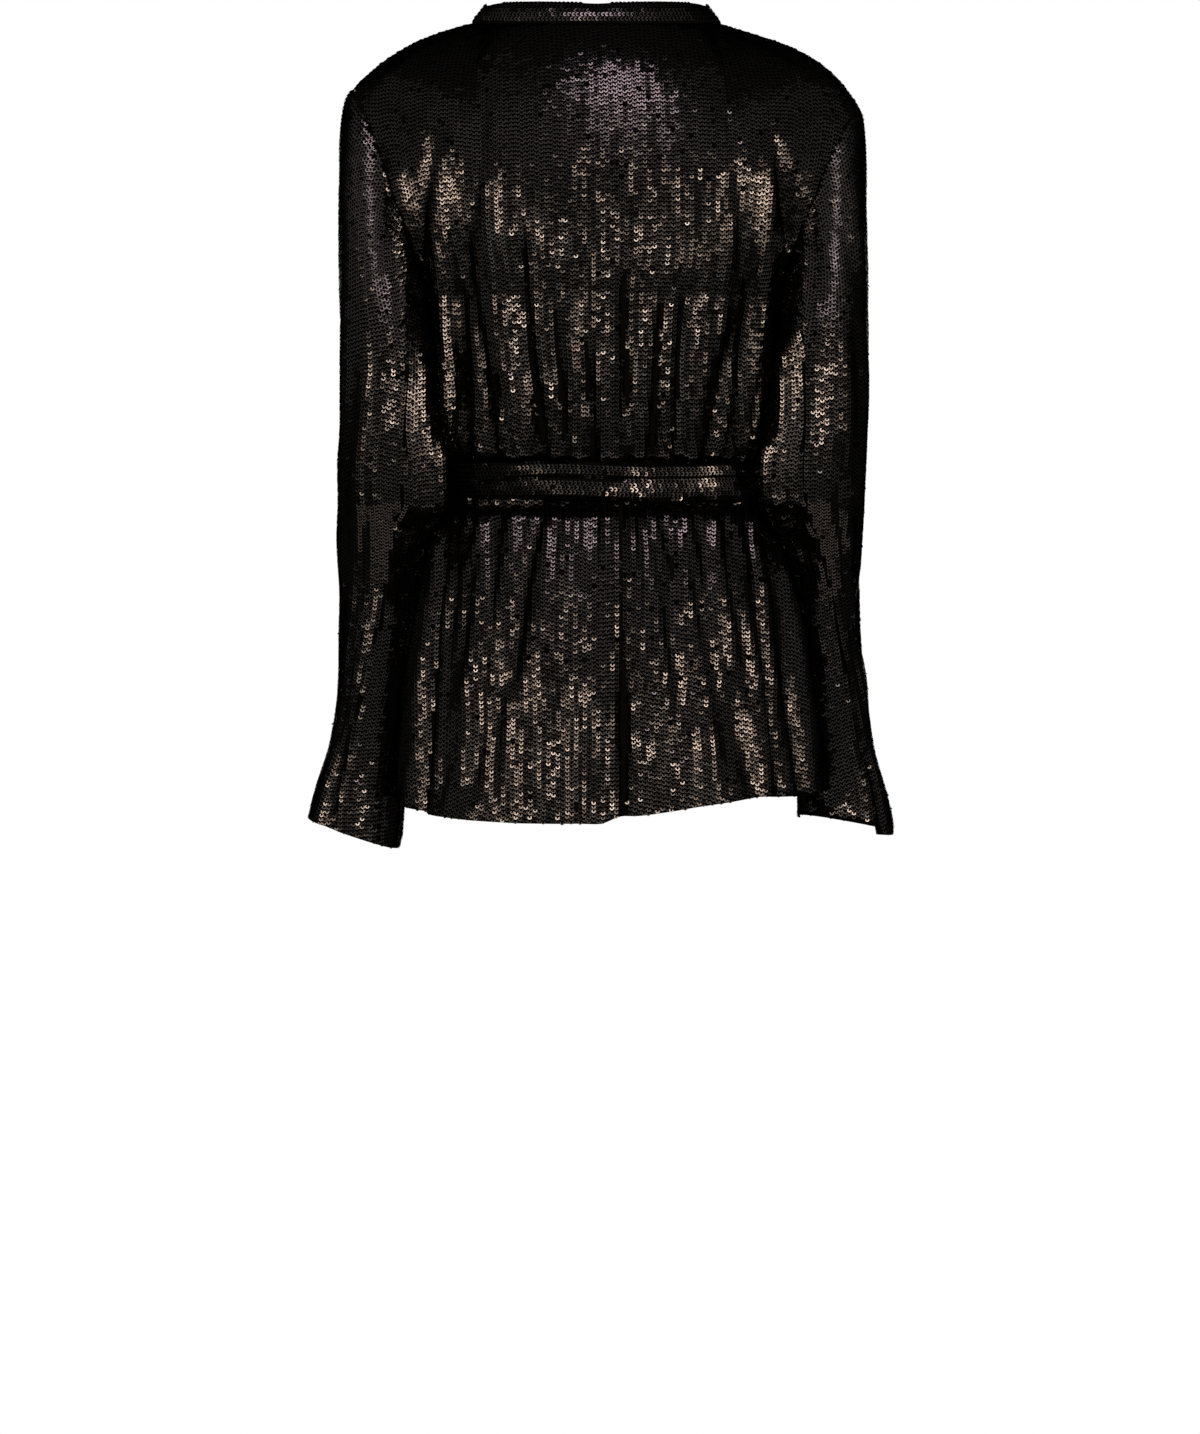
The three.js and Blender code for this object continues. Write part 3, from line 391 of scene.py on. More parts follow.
# Looks. Shares are of a sequin's width, measured from its middle.
SEQUIN_COLOUR = (0.128, 0.119, 0.11, 1)
# A dark edge tint dims the glints at grazing angles: painted shade for sequins shading one another near the
# outline.
GRAZING_SHADE_TINT = (0.06, 0.06, 0.06, 1)
SEQUIN_ROUGHNESS = 0.15
DULL_ROUGHNESS = 0.6
# Black of the hole, also used for painted shade: a shadow across the top of each disc, under the disc above.
HOLE_AND_SHADE_COLOUR = (0.002, 0.002, 0.002, 1)
# The dark centre reaches past the real hole, taking in the dark thread and painted shade round it.
HOLE_AND_SHADE_SHARE = 0.245
# Above this share of the disc's height, a painted shadow darkens the top, under the edge of the disc above.
SHADED_ABOVE = 0.14
MESH_TONES = ((0.0015, 0.0015, 0.0015, 1), (0.004, 0.0037, 0.0035, 1))
MESH_NOISE = 60
THREAD_SCALE = 340
THREAD_WAVER = 1.5
THREAD_HEIGHT = 0.25
THREAD_STRENGTH = 0.6
MESH_ROUGHNESS = 0.8
MESH_GLOSS = 0.05
FLOOR_TONES = ((0.9, 0.9, 0.89, 1), (0.93, 0.93, 0.92, 1))
FLOOR_NOISE = 3
FLOOR_ROUGHNESS = 0.9
ROOM_LIGHT = 0.04
WARM_WHITE = (1.0, 0.91, 0.85)
MAUVE = (1.0, 0.8, 0.96)
WARM = (1.0, 0.8, 0.66)
WARM_CORE = (1.0, 0.82, 0.7)

# Soft lights by the way they stand from the garment: name, degrees round from the camera, degrees up,
# distance, width and height in metres, brightness and colour.
LIGHTS = (
    ("camera_wall", 0, 2, 4.8, (7.8, 3.5), 0.1, WARM_WHITE),
    ("middle_panel", 2, 9, 4.6, (0.9, 1.8), 0.34, WARM_WHITE),
    ("left_panel", 29, 5, 4.6, (1.1, 2.8), 0.45, WARM_WHITE),
    ("right_panel", -27, 5, 4.6, (1.2, 2.8), 0.4, WARM_WHITE),
    ("low_wall", 0, -30, 3.2, (6.0, 2.0), 0.12, WARM_WHITE),
    ("high_wall", 0, 41, 4.0, (7.0, 2.0), 0.22, (1.0, 0.88, 0.92)),
    ("top_wall", 0, 62, 3.2, (6.0, 1.0), 0.06, (1.0, 0.86, 0.96)),
    ("left_wall", 70, 8, 4.0, (2.4, 3.6), 0.13, WARM_WHITE),
    ("right_wall", -70, 8, 4.0, (2.4, 3.6), 0.13, WARM_WHITE),
    ("left_high", 75, 47, 4.0, (3.0, 1.8), 0.1, (1.0, 0.9, 0.9)),
    ("right_high", -75, 47, 4.0, (3.0, 1.8), 0.1, (1.0, 0.9, 0.9)),
    ("mauve_left", 9, 58, 3.0, (0.4, 0.6), 2.6, MAUVE),
    ("mauve_middle", -8, 57, 3.0, (0.5, 0.75), 4.2, MAUVE),
    ("mauve_right", -27, 56, 3.0, (0.45, 0.7), 3.4, MAUVE),
    ("mauve_low", -9, 45, 3.0, (0.8, 0.6), 1.6, (1.0, 0.82, 0.9)),
    ("warm_middle", -2, 28, 3.9, (0.7, 0.7), 1.6, WARM),
    ("warm_middle_core", -2, 28, 3.8, (0.3, 0.4), 5.8, WARM_CORE),
    ("warm_chest", -3, 8, 4.2, (0.65, 0.65), 10.5, WARM_CORE),
    ("warm_left", 47, 11, 3.4, (0.9, 1.6), 2.2, WARM),
    ("warm_left_core", 46, 13, 3.3, (0.3, 0.9), 7, WARM_CORE),
    ("warm_right", -44, 14, 3.4, (1.1, 1.6), 2.2, WARM),
    ("warm_right_core", -43, 18, 3.3, (0.5, 0.7), 7, WARM_CORE),
    ("low_bounce", 30, -30, 2.9, (0.6, 0.6), 3, (1.0, 0.85, 0.7)),
    ("front_wall", 180, 5, 4.0, (5.0, 3.0), 0.6, (1.0, 0.94, 0.88)),
    ("front_middle", 178, 14, 3.6, (0.9, 1.4), 4, (1.0, 0.87, 0.74)),
)
LIGHTS_ROUND = (0, 0.05, -0.38)
FLOOR_Z = -1500
FLOOR_RADIUS = 1100
FLOOR_SIDES = 96


def track(columns, name, at):
    """Value of one named column at a place, on a smooth line with no overshoot."""
    names = list(columns)
    xs, ys = columns[names[0]], columns[name]
    at = np.asarray(at, float)
    steps = np.diff(xs)
    slopes = np.diff(ys) / steps
    tangents = np.zeros(len(xs))
    tangents[0], tangents[-1] = slopes[0], slopes[-1]
    both = slopes[:-1] * slopes[1:]
    total = slopes[:-1] + slopes[1:]
    tangents[1:-1] = np.where(both > 0, 2 * both / np.where(total == 0, 1, total), 0)
    i = np.clip(np.searchsorted(xs, at) - 1, 0, len(xs) - 2)
    u = np.clip((at - xs[i]) / steps[i], 0, 1)
    return (
        ys[i] * (2 * u**3 - 3 * u**2 + 1)
        + ys[i + 1] * (3 * u**2 - 2 * u**3)
        + tangents[i] * steps[i] * (u**3 - 2 * u**2 + u)
        + tangents[i + 1] * steps[i] * (u**3 - u**2)
    )


def smooth(x, low, high):
    t = np.clip((x - low) / (high - low), 0, 1)
    return t * t * (3 - 2 * t)


def lerp(a, b, t):
    return a + (b - a) * t


def points(x, y, z):
    return np.stack(np.broadcast_arrays(x, y, z), axis=-1).astype(float)


def unit(v):
    return v / np.maximum(np.linalg.norm(v, axis=-1, keepdims=True), 1e-9)


def bend(start, leave, arrive, end, u):
    """A smooth curve through two ends and two handles."""
    u = np.asarray(u)[..., None]
    v = 1 - u
    return start * v**3 + leave * 3 * v * v * u + arrive * 3 * v * u * u + end * u**3


def body_half(z, side):
    return np.where(side >= 0, track(BODY, "left", z), track(BODY, "right", z))


def body_point(turn, z):
    """Body below the underarm. Turn is 0 at the middle of the back, 1 at the left side and 2 in front."""
    angle = turn * math.pi / 2
    side, facing = np.sin(angle), np.cos(angle)
    half = body_half(z, side)
    depth = np.where(facing >= 0, track(BODY, "back", z), track(BODY, "front", z))
    full = 1 + SQUARENESS * np.sin(2 * angle) ** 2
    return points(half * side * full, depth * facing * full, z)


def half_width(z, side):
    return np.where(z > UNDERARM_Z, track(ARMHOLE_WIDTHS, "half", z), body_half(z, side))


def pinch(z):
    reach = np.abs(z - BELT_MIDDLE_Z) - (BELT_TOP_Z - BELT_LOW_Z) / 2
    return lerp(BELT_PINCH, 1, smooth(reach, 0, PINCH_REACH))


def fold_depth(folds, share, z):
    """Depth of all the folds at a place, given by its share of a quarter turn and its height.

    A fold that starts under the belt starts at once, and one that ends there ends at once.
    """
    total = 0
    for up_x, up_z, up_deep, low_x, low_z, low_deep, wide in folds:
        down = np.clip((up_z - z) / (up_z - low_z), 0, 1)
        fade = FOLD_FADE if wide > NARROW_FOLD else FOLD_FADE / 2
        from_belt = BELT_LOW_Z < up_z < BELT_TOP_Z
        fade_in = smooth(up_z - z, -1, 0) if from_belt else smooth(up_z - z, -fade, fade)
        fade_out = smooth(z - low_z, -fade, fade / 3)
        x = lerp(up_x, low_x, down)
        fold_share = np.arcsin(np.clip(x / half_width(z, x), -1, 1)) * 2 / math.pi
        near_belt = 1 - down if low_z < BELT_LOW_Z else down
        broad = wide * lerp(FOLD_TAPER[0], FOLD_TAPER[1], near_belt)
        away = (share - fold_share) * math.pi / 2 * FOLD_RADIUS / broad
        ends = np.where((low_z > BELT_LOW_Z - 1) & (z < low_z), 0, 1)
        trough = np.exp(-(away**2 + FOLD_ROUNDING) ** FOLD_SHARPNESS)
        total = total + lerp(up_deep, low_deep, down) * fade_in * fade_out * ends * trough
    return total * pinch(z)


def sink(p, depth):
    """Sinks points into a fold, square to the section."""
    away = unit(points(p[..., 0] / SECTION_WIDE**2, p[..., 1] / SECTION_DEEP**2, 0))
    return p - away * np.asarray(depth)[..., None]


def hem_height(hem, x, z):
    rise = track(hem, "z", x) - HEM_Z
    share = np.clip((HEM_STARTS_Z - z) / (HEM_STARTS_Z - HEM_Z), 0, 1)
    return z + rise * share * share


def neckline(angle):
    facing = np.cos(angle)
    return points(
        NECK_SHIFT + NECK_X * np.sin(angle),
        lerp(NECK_SEAM_Y, NECK_BACK_Y, facing),
        NECK_BACK_Z * facing,
    )


def shoulder_seam(side, out):
    seam = LEFT_SHOULDER if side > 0 else RIGHT_SHOULDER
    down = seam["slope"] * out + (1 - seam["slope"]) * out ** seam["power"]
    return points(lerp(NECK_SHIFT + side * NECK_X, side * seam["x"], out), NECK_SEAM_Y, seam["z"] * down)


def same_shape(*values):
    return np.broadcast_arrays(*[np.asarray(value, float) for value in values])


def back_top(share):
    reach = np.abs(share)
    out = np.clip((reach - NECK_SHARE) / (1 - NECK_SHARE), 0, 1)
    neck = neckline(np.sign(share) * np.clip(reach / NECK_SHARE, 0, 1) * math.pi / 2)
    seam = np.where((share > 0)[..., None], shoulder_seam(1, out), shoulder_seam(-1, out))
    return np.where((reach <= NECK_SHARE)[..., None], neck, seam)


def back_point(share, z, up, folds=BACK_FOLDS + BACK_CREASES):
    """The back panel. Share runs from -1 at the right side to 1 at the left side."""
    share, z, up = same_shape(share, z, up)
    side, reach = np.sign(share), np.abs(share)
    low = body_point(share, z)
    low[..., 2] = np.where(up == 0, hem_height(BACK_HEM, low[..., 0], z), z)
    spread = np.sin(reach * math.pi / 2)
    hole, middle = BACK_ARMHOLE, BACK_MIDDLE
    leave = points(
        side * hole["low_x"] * spread,
        lerp(middle["low_y"], hole["low_y"], reach**2.4),
        lerp(middle["low_z"], hole["low_z"], reach**3),
    )
    arrive = points(
        side * hole["high_x"] * lerp(reach, spread, 0.6),
        lerp(middle["high_y"], hole["high_y"], reach**2),
        lerp(middle["high_z"], hole["high_z"], reach**2.4),
    )
    p = bend(low, leave, arrive, back_top(share), up)
    folded = 1 - smooth(reach, *ARMHOLE_PLAIN) * smooth(p[..., 2], ARMHOLE_PLAIN_Z, UNDERARM_Z)
    return sink(p, fold_depth(folds, share, p[..., 2]) * folded) + (0, SEWN_GAP / 2, 0)


def front_point(side, share, z, up, creases=FRONT_CREASES):
    """A front panel. Share runs from 0 at the side seam to 1 at the free edge; side is 1 for the left."""
    share, z, up = same_shape(share, z, up)
    folds = (LEFT_FOLDS if side > 0 else RIGHT_FOLDS) + creases
    edge_x = track(FRONT_EDGES, "x", z)
    edge_turn = 2 - np.arcsin(edge_x / half_width(z, edge_x * side)) * 2 / math.pi
    turn = lerp(1, edge_turn, share)
    low = body_point(side * turn, z)
    low[..., 2] = np.where(up == 0, hem_height(FRONT_HEM, np.abs(low[..., 0]), z), z)
    lift = WRAP_LIFT * smooth(turn, *WRAP_TURNS) * (1 - up) if side < 0 else 0
    full = np.sin(share * math.pi)
    hole, neck = FRONT_ARMHOLE, FRONT_NECK
    leave = points(
        side * lerp(hole["low_x"], neck["low_x"], share**1.3),
        lerp(hole["low_y"], neck["low_y"], share) - CHEST_FULLNESS * full,
        lerp(hole["low_z"], neck["low_z"], share**0.8),
    )
    arrive = points(
        side * lerp(hole["high_x"], neck["high_x"], share),
        lerp(hole["high_y"], neck["high_y"], share) - CHEST_FULLNESS * full,
        lerp(hole["high_z"], neck["high_z"], share),
    )
    p = bend(low, leave, arrive, shoulder_seam(side, 1 - share), up)
    height = p[..., 2]
    folded = 1 - smooth(share, *LAPEL_PLAIN) * smooth(height, *LAPEL_PLAIN_HEIGHTS)
    depth = fold_depth(folds, 2 - turn, height)
    if side > 0:
        depth = depth + fold_depth(RIGHT_FOLDS, turn - 2, height)
    return sink(p, depth * folded - lift) - (0, SEWN_GAP / 2, 0)


def armhole(side, turn):
    """Points round an armhole. Turn is 0 at the shoulder and goes down the back edge to the underarm."""
    back_up = np.clip(1 - turn / 180, 0, 1)
    front_up = np.clip(turn / 180 - 1, 0, 1)
    behind = back_point(np.full_like(turn, side), UNDERARM_Z, back_up)
    before = front_point(side, np.zeros_like(turn), UNDERARM_Z, front_up)
    in_front = smooth(turn, *UNDERARM_TURNS)[..., None]
    return lerp(behind, before, in_front) + (side * SEAM, 0, 0)


def sleeve_point(side, turn, z):
    rings = LEFT_SLEEVE if side > 0 else RIGHT_SLEEVE
    inner, outer = track(rings, "inner", z), track(rings, "outer", z)
    angle = np.radians(turn + track(rings, "twist", z))
    half = (outer - inner) / 2
    away = 0
    for at, up_z, low_z, deep, wide in SLEEVE_FOLDS:
        apart = ((turn - at + 540) % 360 - 180) / wide
        fade = smooth(up_z - z, 0, SLEEVE_FOLD_FADE) * smooth(z - low_z, 0, SLEEVE_FOLD_FADE)
        away = away + deep * fade * np.exp(-apart * apart)
    out = np.sign(np.cos(angle)) * np.abs(np.cos(angle)) ** SLEEVE_SQUARENESS
    back = np.sign(np.sin(angle)) * np.abs(np.sin(angle)) ** SLEEVE_SQUARENESS
    return points(
        side * (inner + half + (half - away) * out),
        track(rings, "y", z) + (track(rings, "deep", z) - away) * back,
        z - track(rings, "drop", z) * out / 2,
    )


def sleeve_grid(side, turns, cap_rows, long_rows, hem_rise):
    """Rows of points from the cuff up to the armhole, round the given turns."""
    cap = LEFT_SHOULDER if side > 0 else RIGHT_SHOULDER
    rings = LEFT_SLEEVE if side > 0 else RIGHT_SLEEVE
    turns = turns % 360
    start = armhole(side, turns)
    first = sleeve_point(side, turns, SLEEVE_TOP_Z)
    top = (1 + np.cos(np.radians(turns))) / 2
    backwards = np.sin(np.radians(turns))
    out = lerp(CAP["under_out"], cap["cap_out"], top)
    down = lerp(CAP["under_drop"], cap["cap_drop"], top) + CAP["side_drop"] * np.abs(backwards)
    leave = start + points(side * out, CAP["side_out"] * backwards, -down)
    arrive = first + points(0, 0, lerp(CAP["under_rise"], CAP["top_rise"], top))
    u = (np.arange(cap_rows) / cap_rows)[:, None] ** CAP_SPREAD
    u = np.broadcast_to(u, (cap_rows, len(turns)))
    cap_points = bend(start[None], leave[None], arrive[None], first[None], u)
    zs = np.linspace(SLEEVE_TOP_Z, rings["z"][0] + hem_rise, long_rows)[:, None]
    tube = sleeve_point(side, turns[None, :], zs)
    return np.concatenate([cap_points, tube])[::-1]


def grid_normals(p, out):
    """Normals of a grid of points, turned to the side that out says."""
    along = np.gradient(p, axis=1)
    rise = np.gradient(p, axis=0)
    return unit(np.cross(along, rise)) * out


def ripple(seed, a, b, size):
    """A small uneven swell of the cloth, from waves laid in seeded directions."""
    draw = np.random.default_rng(seed)
    total = 0
    for _ in range(RIPPLE_WAVES):
        length = draw.uniform(*RIPPLE_LENGTHS)
        heading = draw.normal(0, RIPPLE_SPREAD)
        phase = draw.uniform(0, 2 * math.pi)
        along = a * math.cos(heading) + b * math.sin(heading)
        total = total + np.sin(2 * math.pi * along / length + phase)
    return total / math.sqrt(RIPPLE_WAVES) * size


def make_mesh(name, verts, loops, sizes, uv=None, flat=True):
    mesh = bpy.data.meshes.new(name)
    mesh.vertices.add(len(verts))
    mesh.vertices.foreach_set("co", (verts * MM).astype(np.float32).ravel())
    mesh.loops.add(len(loops))
    mesh.loops.foreach_set("vertex_index", loops.astype(np.int32))
    mesh.polygons.add(len(sizes))
    starts = np.concatenate([[0], np.cumsum(sizes)[:-1]])
    mesh.polygons.foreach_set("loop_start", starts.astype(np.int32))
    mesh.polygons.foreach_set("loop_total", np.asarray(sizes, np.int32))
    mesh.polygons.foreach_set("use_smooth", np.full(len(sizes), not flat))
    if uv is not None:
        layer = mesh.uv_layers.new(name="OFBake")
        layer.data.foreach_set("uv", uv.astype(np.float32).ravel())
    mesh.update(calc_edges=True)
    mesh.validate()
    obj = bpy.data.objects.new(name, mesh)
    bpy.context.scene.collection.objects.link(obj)
    return obj


def shell(name, p, n, material, closed=False):
    """A thin closed wall of cloth on a grid of points, with its edges joined."""
    rows, columns = p.shape[:2]
    verts = np.concatenate([p.reshape(-1, 3), (p - n * SHELL).reshape(-1, 3)])
    across = columns if closed else columns - 1
    r, c = np.meshgrid(np.arange(rows - 1), np.arange(across), indexing="ij")
    right = (c + 1) % columns
    a, b = r * columns + c, r * columns + right
    d, e = (r + 1) * columns + c, (r + 1) * columns + right
    inner = rows * columns
    outside = np.stack([a, b, e, d], -1).reshape(-1, 4)
    inside = np.stack([d, e, b, a], -1).reshape(-1, 4) + inner
    rims = []
    cs = np.arange(across)
    ends = (cs + 1) % columns
    last = (rows - 1) * columns
    rims.append(np.stack([cs, cs + inner, ends + inner, ends], -1))
    rims.append(np.stack([last + ends, last + ends + inner, last + cs + inner, last + cs], -1))
    if not closed:
        rs = np.arange(rows - 1) * columns
        rims.append(np.stack([rs + columns, rs + columns + inner, rs + inner, rs], -1))
        end = rs + columns - 1
        rims.append(np.stack([end, end + inner, end + columns + inner, end + columns], -1))
    quads = np.concatenate([outside, inside, *rims])
    obj = make_mesh(name, verts, quads.ravel(), np.full(len(quads), 4), flat=False)
    normal_way = np.cross(p[1, 1] - p[1, 0], p[2, 1] - p[1, 1]) @ n[1, 1]
    if normal_way < 0:
        obj.data.flip_normals()
    obj.data.materials.append(material)
    return obj


def lengths_across(p):
    """Distance of each point of a grid from the first one of its row, along the cloth."""
    steps = np.linalg.norm(np.diff(p, axis=1), axis=2)
    return np.concatenate([np.zeros((len(p), 1)), np.cumsum(steps, axis=1)], axis=1)


def open_places(p, n):
    """Where a grid of points isn't the bottom of a tight fold, so that a sequin has room."""
    reach = TIGHT_REACH
    across = p[:, 2 * reach:] - p[:, : -2 * reach]
    turned = n[:, 2 * reach:] - n[:, : -2 * reach]
    hollow = np.sum(across * turned, axis=-1) < 0
    tight = hollow & (np.sum(turned**2, axis=-1) > (2 * math.sin(TIGHT_TURN / 2)) ** 2)
    room = np.ones(p.shape[:2])
    room[:, reach:-reach] = ~tight
    return room


def between(at, known, values):
    """Values of all three coordinates at a place, or places, along the known ones."""
    return np.stack([np.interp(at, known, values[:, i]) for i in range(3)], -1)


def lattice(p, n, centre, seed):
    """Places of sequins on a fine grid, in columns by the distance across from the centre column.

    Gives each sequin's place, the way out and the way along its column.
    """
    draw = np.random.default_rng(seed)
    room = open_places(p, n)
    s = lengths_across(p)
    s = s - s[:, centre][:, None]
    first = math.ceil((s[:, 0].min() + EDGE_MARGIN) / COLUMN_PITCH)
    last = math.floor((s[:, -1].max() - EDGE_MARGIN) / COLUMN_PITCH)
    places, outs, ups = [], [], []
    phase = draw.uniform(0, ROW_PITCH)
    for k in range(first, last + 1):
        at = k * COLUMN_PITCH
        rows = np.nonzero((s[:, 0] + EDGE_MARGIN <= at) & (s[:, -1] - EDGE_MARGIN >= at))[0]
        phase = phase + draw.uniform(*COLUMN_STEP) * ROW_PITCH
        if len(rows) < SHORTEST_RUN:
            continue
        line = np.array([between(at, s[r], p[r]) for r in rows])
        away = np.array([between(at, s[r], n[r]) for r in rows])
        clear = np.array([np.interp(at, s[r], room[r]) for r in rows])
        for run in np.split(np.arange(len(rows)), np.nonzero(np.diff(rows) > 1)[0] + 1):
            if len(run) < SHORTEST_RUN:
                continue
            steps = np.linalg.norm(np.diff(line[run], axis=0), axis=1)
            length = np.concatenate([[0], np.cumsum(steps)])
            stops = np.arange(EDGE_MARGIN + phase % ROW_PITCH, length[-1] - EDGE_MARGIN, ROW_PITCH)
            if not len(stops):
                continue
            stops = stops + draw.normal(0, PLACE_SPREAD, len(stops))
            stops = stops[np.interp(stops, length, clear[run]) > 0.5]
            places.append(between(stops, length, line[run]))
            outs.append(between(stops, length, away[run]))
            ups.append(between(stops, length, np.gradient(line[run], axis=0)))
    return np.concatenate(places), np.concatenate(outs), np.concatenate(ups)


def within(value, start, full, fading, end):
    """1 in the middle of a stretch, and 0 outside it."""
    return smooth(value, start, full) * (1 - smooth(value, fading, end))


def crowd(places, outs):
    """Turns and lifts the sequins that crowd between a sleeve and the body."""
    out = unit(outs)
    across, height = np.abs(places[:, 0]), places[:, 2]
    beside = np.maximum(within(across, *CROWDED_BODY), within(across, *CROWDED_SLEEVE))
    facing = smooth(out[:, 1], *CROWDED_BACKWARD) * smooth(np.abs(out[:, 0]), *CROWDED_SIDEWAYS)
    share = beside * within(height, *CROWDED_HEIGHTS) * facing
    share = share * lerp(CROWDED_SKIRT, 1, smooth(height, BELT_LOW_Z, BELT_TOP_Z))
    turned = unit(out + CROWDED_TURN * share[:, None] * np.array([0, 1, 0]))
    return places + turned * (CROWDED_LIFT * share)[:, None], turned


def sequins(name, places, outs, ups, seed, material):
    """Round sequins as one mesh: each leans out at its lower edge over the one below, a little unevenly."""
    draw = np.random.default_rng(seed)
    count = len(places)
    out = unit(outs)
    up = unit(ups - out * np.sum(ups * out, axis=1, keepdims=True))
    side = np.cross(up, out)
    tip = LEAN + draw.normal(0, WOBBLE, count)[:, None]
    roll = draw.normal(0, WOBBLE, count)[:, None]
    loose = draw.random(count)[:, None] < LOOSE_SHARE
    tip = np.where(loose, tip * LOOSE_TURN, tip)
    roll = np.where(loose, roll * LOOSE_TURN, roll)
    leaned_up = unit(up * np.cos(tip) - out * np.sin(tip))
    leaned_side = unit(side * np.cos(roll) + out * np.sin(roll))
    leaned_up = unit(leaned_up - leaned_side * np.sum(leaned_up * leaned_side, axis=1, keepdims=True))
    turn = draw.normal(0, SEQUIN_TURN, count)[:, None]
    angles = ((np.arange(SEQUIN_SIDES) + 0.5) / SEQUIN_SIDES * 2 * math.pi)[None, :]
    cosines, sines = np.cos(angles)[..., None], np.sin(angles)[..., None]
    centre = places + out * SEQUIN_LIFT
    rim = cosines * leaned_side[:, None, :] + sines * leaned_up[:, None, :]
    verts = (centre[:, None, :] + SEQUIN_RADIUS * rim).reshape(-1, 3)
    loops = np.arange(count * SEQUIN_SIDES)
    disc = 0.5 + 0.5 * np.stack([np.cos(angles + turn), np.sin(angles + turn)], -1)
    if np.sum(np.cross(leaned_side[0], leaned_up[0]) * out[0]) < 0:
        loops = loops.reshape(count, SEQUIN_SIDES)[:, ::-1].ravel()
        disc = disc[:, ::-1]
    obj = make_mesh(name, verts, loops, np.full(count, SEQUIN_SIDES), uv=disc.reshape(-1, 2))
    obj.data.materials.append(material)
    return obj


def catmull(p, count):
    """Refines a grid of points along its first axis with a smooth curve through every row."""
    rows = len(p)
    t = np.linspace(0, rows - 1, count)
    i = np.clip(t.astype(int), 0, rows - 2)
    u = (t - i).reshape((-1,) + (1,) * (p.ndim - 1))
    a, b, c, d = p[np.maximum(i - 1, 0)], p[i], p[i + 1], p[np.minimum(i + 2, rows - 1)]
    return 0.5 * (2 * b + (c - a) * u + (2 * a - 5 * b + 4 * c - d) * u**2 + (3 * b - a - 3 * c + d) * u**3)


def refine(p, rows, columns):
    return catmull(catmull(p, rows).swapaxes(0, 1), columns).swapaxes(0, 1)


def body_rows(low_count, high_count):
    """Heights below the underarm and shares of the way above it, for every row of a body panel."""
    low = np.linspace(HEM_Z, UNDERARM_Z, low_count, endpoint=False)
    high = np.linspace(0, 1, high_count)
    return (
        np.concatenate([low, np.full(high_count, UNDERARM_Z)])[:, None],
        np.concatenate([np.zeros(low_count), high])[:, None],
    )


def edge_roll(p, n):
    """Turns the side edges of a panel in where they are sewn to the next piece."""
    s = lengths_across(p)
    near = np.minimum(s, s[:, -1:] - s)
    return p - n * (EDGE_ROLL * (1 - smooth(near, 0, EDGE_ROLL_REACH)))[..., None]


def back_grid(columns, low_count, high_count):
    z, up = body_rows(low_count, high_count)
    share = np.linspace(-1, 1, columns)[None, :]
    p = back_point(share, z, up)
    n = grid_normals(p, -1)
    return swell(p, n, 11, BODY_SWELL)


def front_grid(side, columns, low_count, high_count):
    z, up = body_rows(low_count, high_count)
    share = np.linspace(0, 1, columns)[None, :]
    p = front_point(side, share, z, up)
    n = grid_normals(p, -side)
    return swell(p, n, 23 + side, BODY_SWELL)


def sleeve_part(side, low_turn, high_turn, columns, cap_rows, long_rows, hem_rise=0):
    turns = np.linspace(low_turn, high_turn, columns)
    p = sleeve_grid(side, turns, cap_rows, long_rows, hem_rise)
    n = grid_normals(p, side)
    p, n = swell(p, n, 41 + side, SLEEVE_SWELL)
    return edge_roll(p, n), n


def swell(p, n, seed, size):
    """Moves a panel's points by a small uneven swell, which dies away at its edges."""
    rows, columns = p.shape[:2]
    r = np.linspace(0, 1, rows)[:, None]
    c = np.linspace(0, 1, columns)[None, :]
    by_row, by_column = SWELL_EDGES
    inside = smooth(np.minimum(r, 1 - r), 0, by_row) * smooth(np.minimum(c, 1 - c), 0, by_column)
    angle = np.arctan2(p[..., 0], p[..., 1])
    calm = lerp(1, CALM_SWELL, smooth(p[..., 2], *CALM_HEIGHTS))
    amount = ripple(seed, angle * FOLD_RADIUS, p[..., 2] * SWELL_STRETCH, size) * inside * calm
    p = p + n * amount[..., None]
    way = np.sign(np.sum(grid_normals(p, 1) * n))
    return p, grid_normals(p, way)


def lapel_strips(side, end_z):
    """Strips of one lapel, from its end up to the shoulder seam."""
    low = [(z, 0.0) for z in LAPEL_LEVELS if z >= end_z]
    high = [(UNDERARM_Z, up) for up in np.arange(LAPEL_ROWS) / (LAPEL_ROWS - 1)]
    return [lapel_strip(side, z, up) for z, up in low + high]


def lapel_strip(side, z, up):
    """Points of the collar over a front at one row, from its outer edge to the roll."""
    line = front_point(side, LAPEL_SHARES, z, up, creases=())
    edge = line[0]
    fall = track(COLLAR_FALL, "fall", edge[2])
    share = LAPEL_SHARES[np.argmax(np.linalg.norm(line - edge, axis=1) >= fall)]
    here = lerp(share, 1, COLLAR_ACROSS)
    p = front_point(side, here, z, up, creases=())
    beside = front_point(side, here - LAPEL_BESIDE, z, up, creases=())
    if up == 0:
        rise = front_point(side, here, z + WALL, 0, creases=()) - p
    else:
        rise = p - front_point(side, here, z, up - LAPEL_BESIDE, creases=())
    away = unit(np.cross(p - beside, rise)) * -side
    standing = smooth(edge[2], *LAPEL_LIFTS_Z) * COLLAR_ACROSS**2
    stand = lerp(LAPEL_STAND, COLLAR_ROLL["side"], smooth(edge[2], *LAPEL_STANDS_Z)) * standing
    upward = smooth(edge[2], *LAPEL_TURNS_UP_Z)
    edge_lift = lerp(COLLAR_CLEAR + WALL, COLLAR_EDGE_LIFT, smooth(edge[2], *COLLAR_REST_HEIGHTS))
    lift_here = lerp(edge_lift, COLLAR_CLEAR + WALL, np.minimum(1, COLLAR_ACROSS * 2))
    lifted = p + away * (lift_here + stand * (1 - upward))[:, None]
    lifted[:, 2] += stand * upward
    return lifted


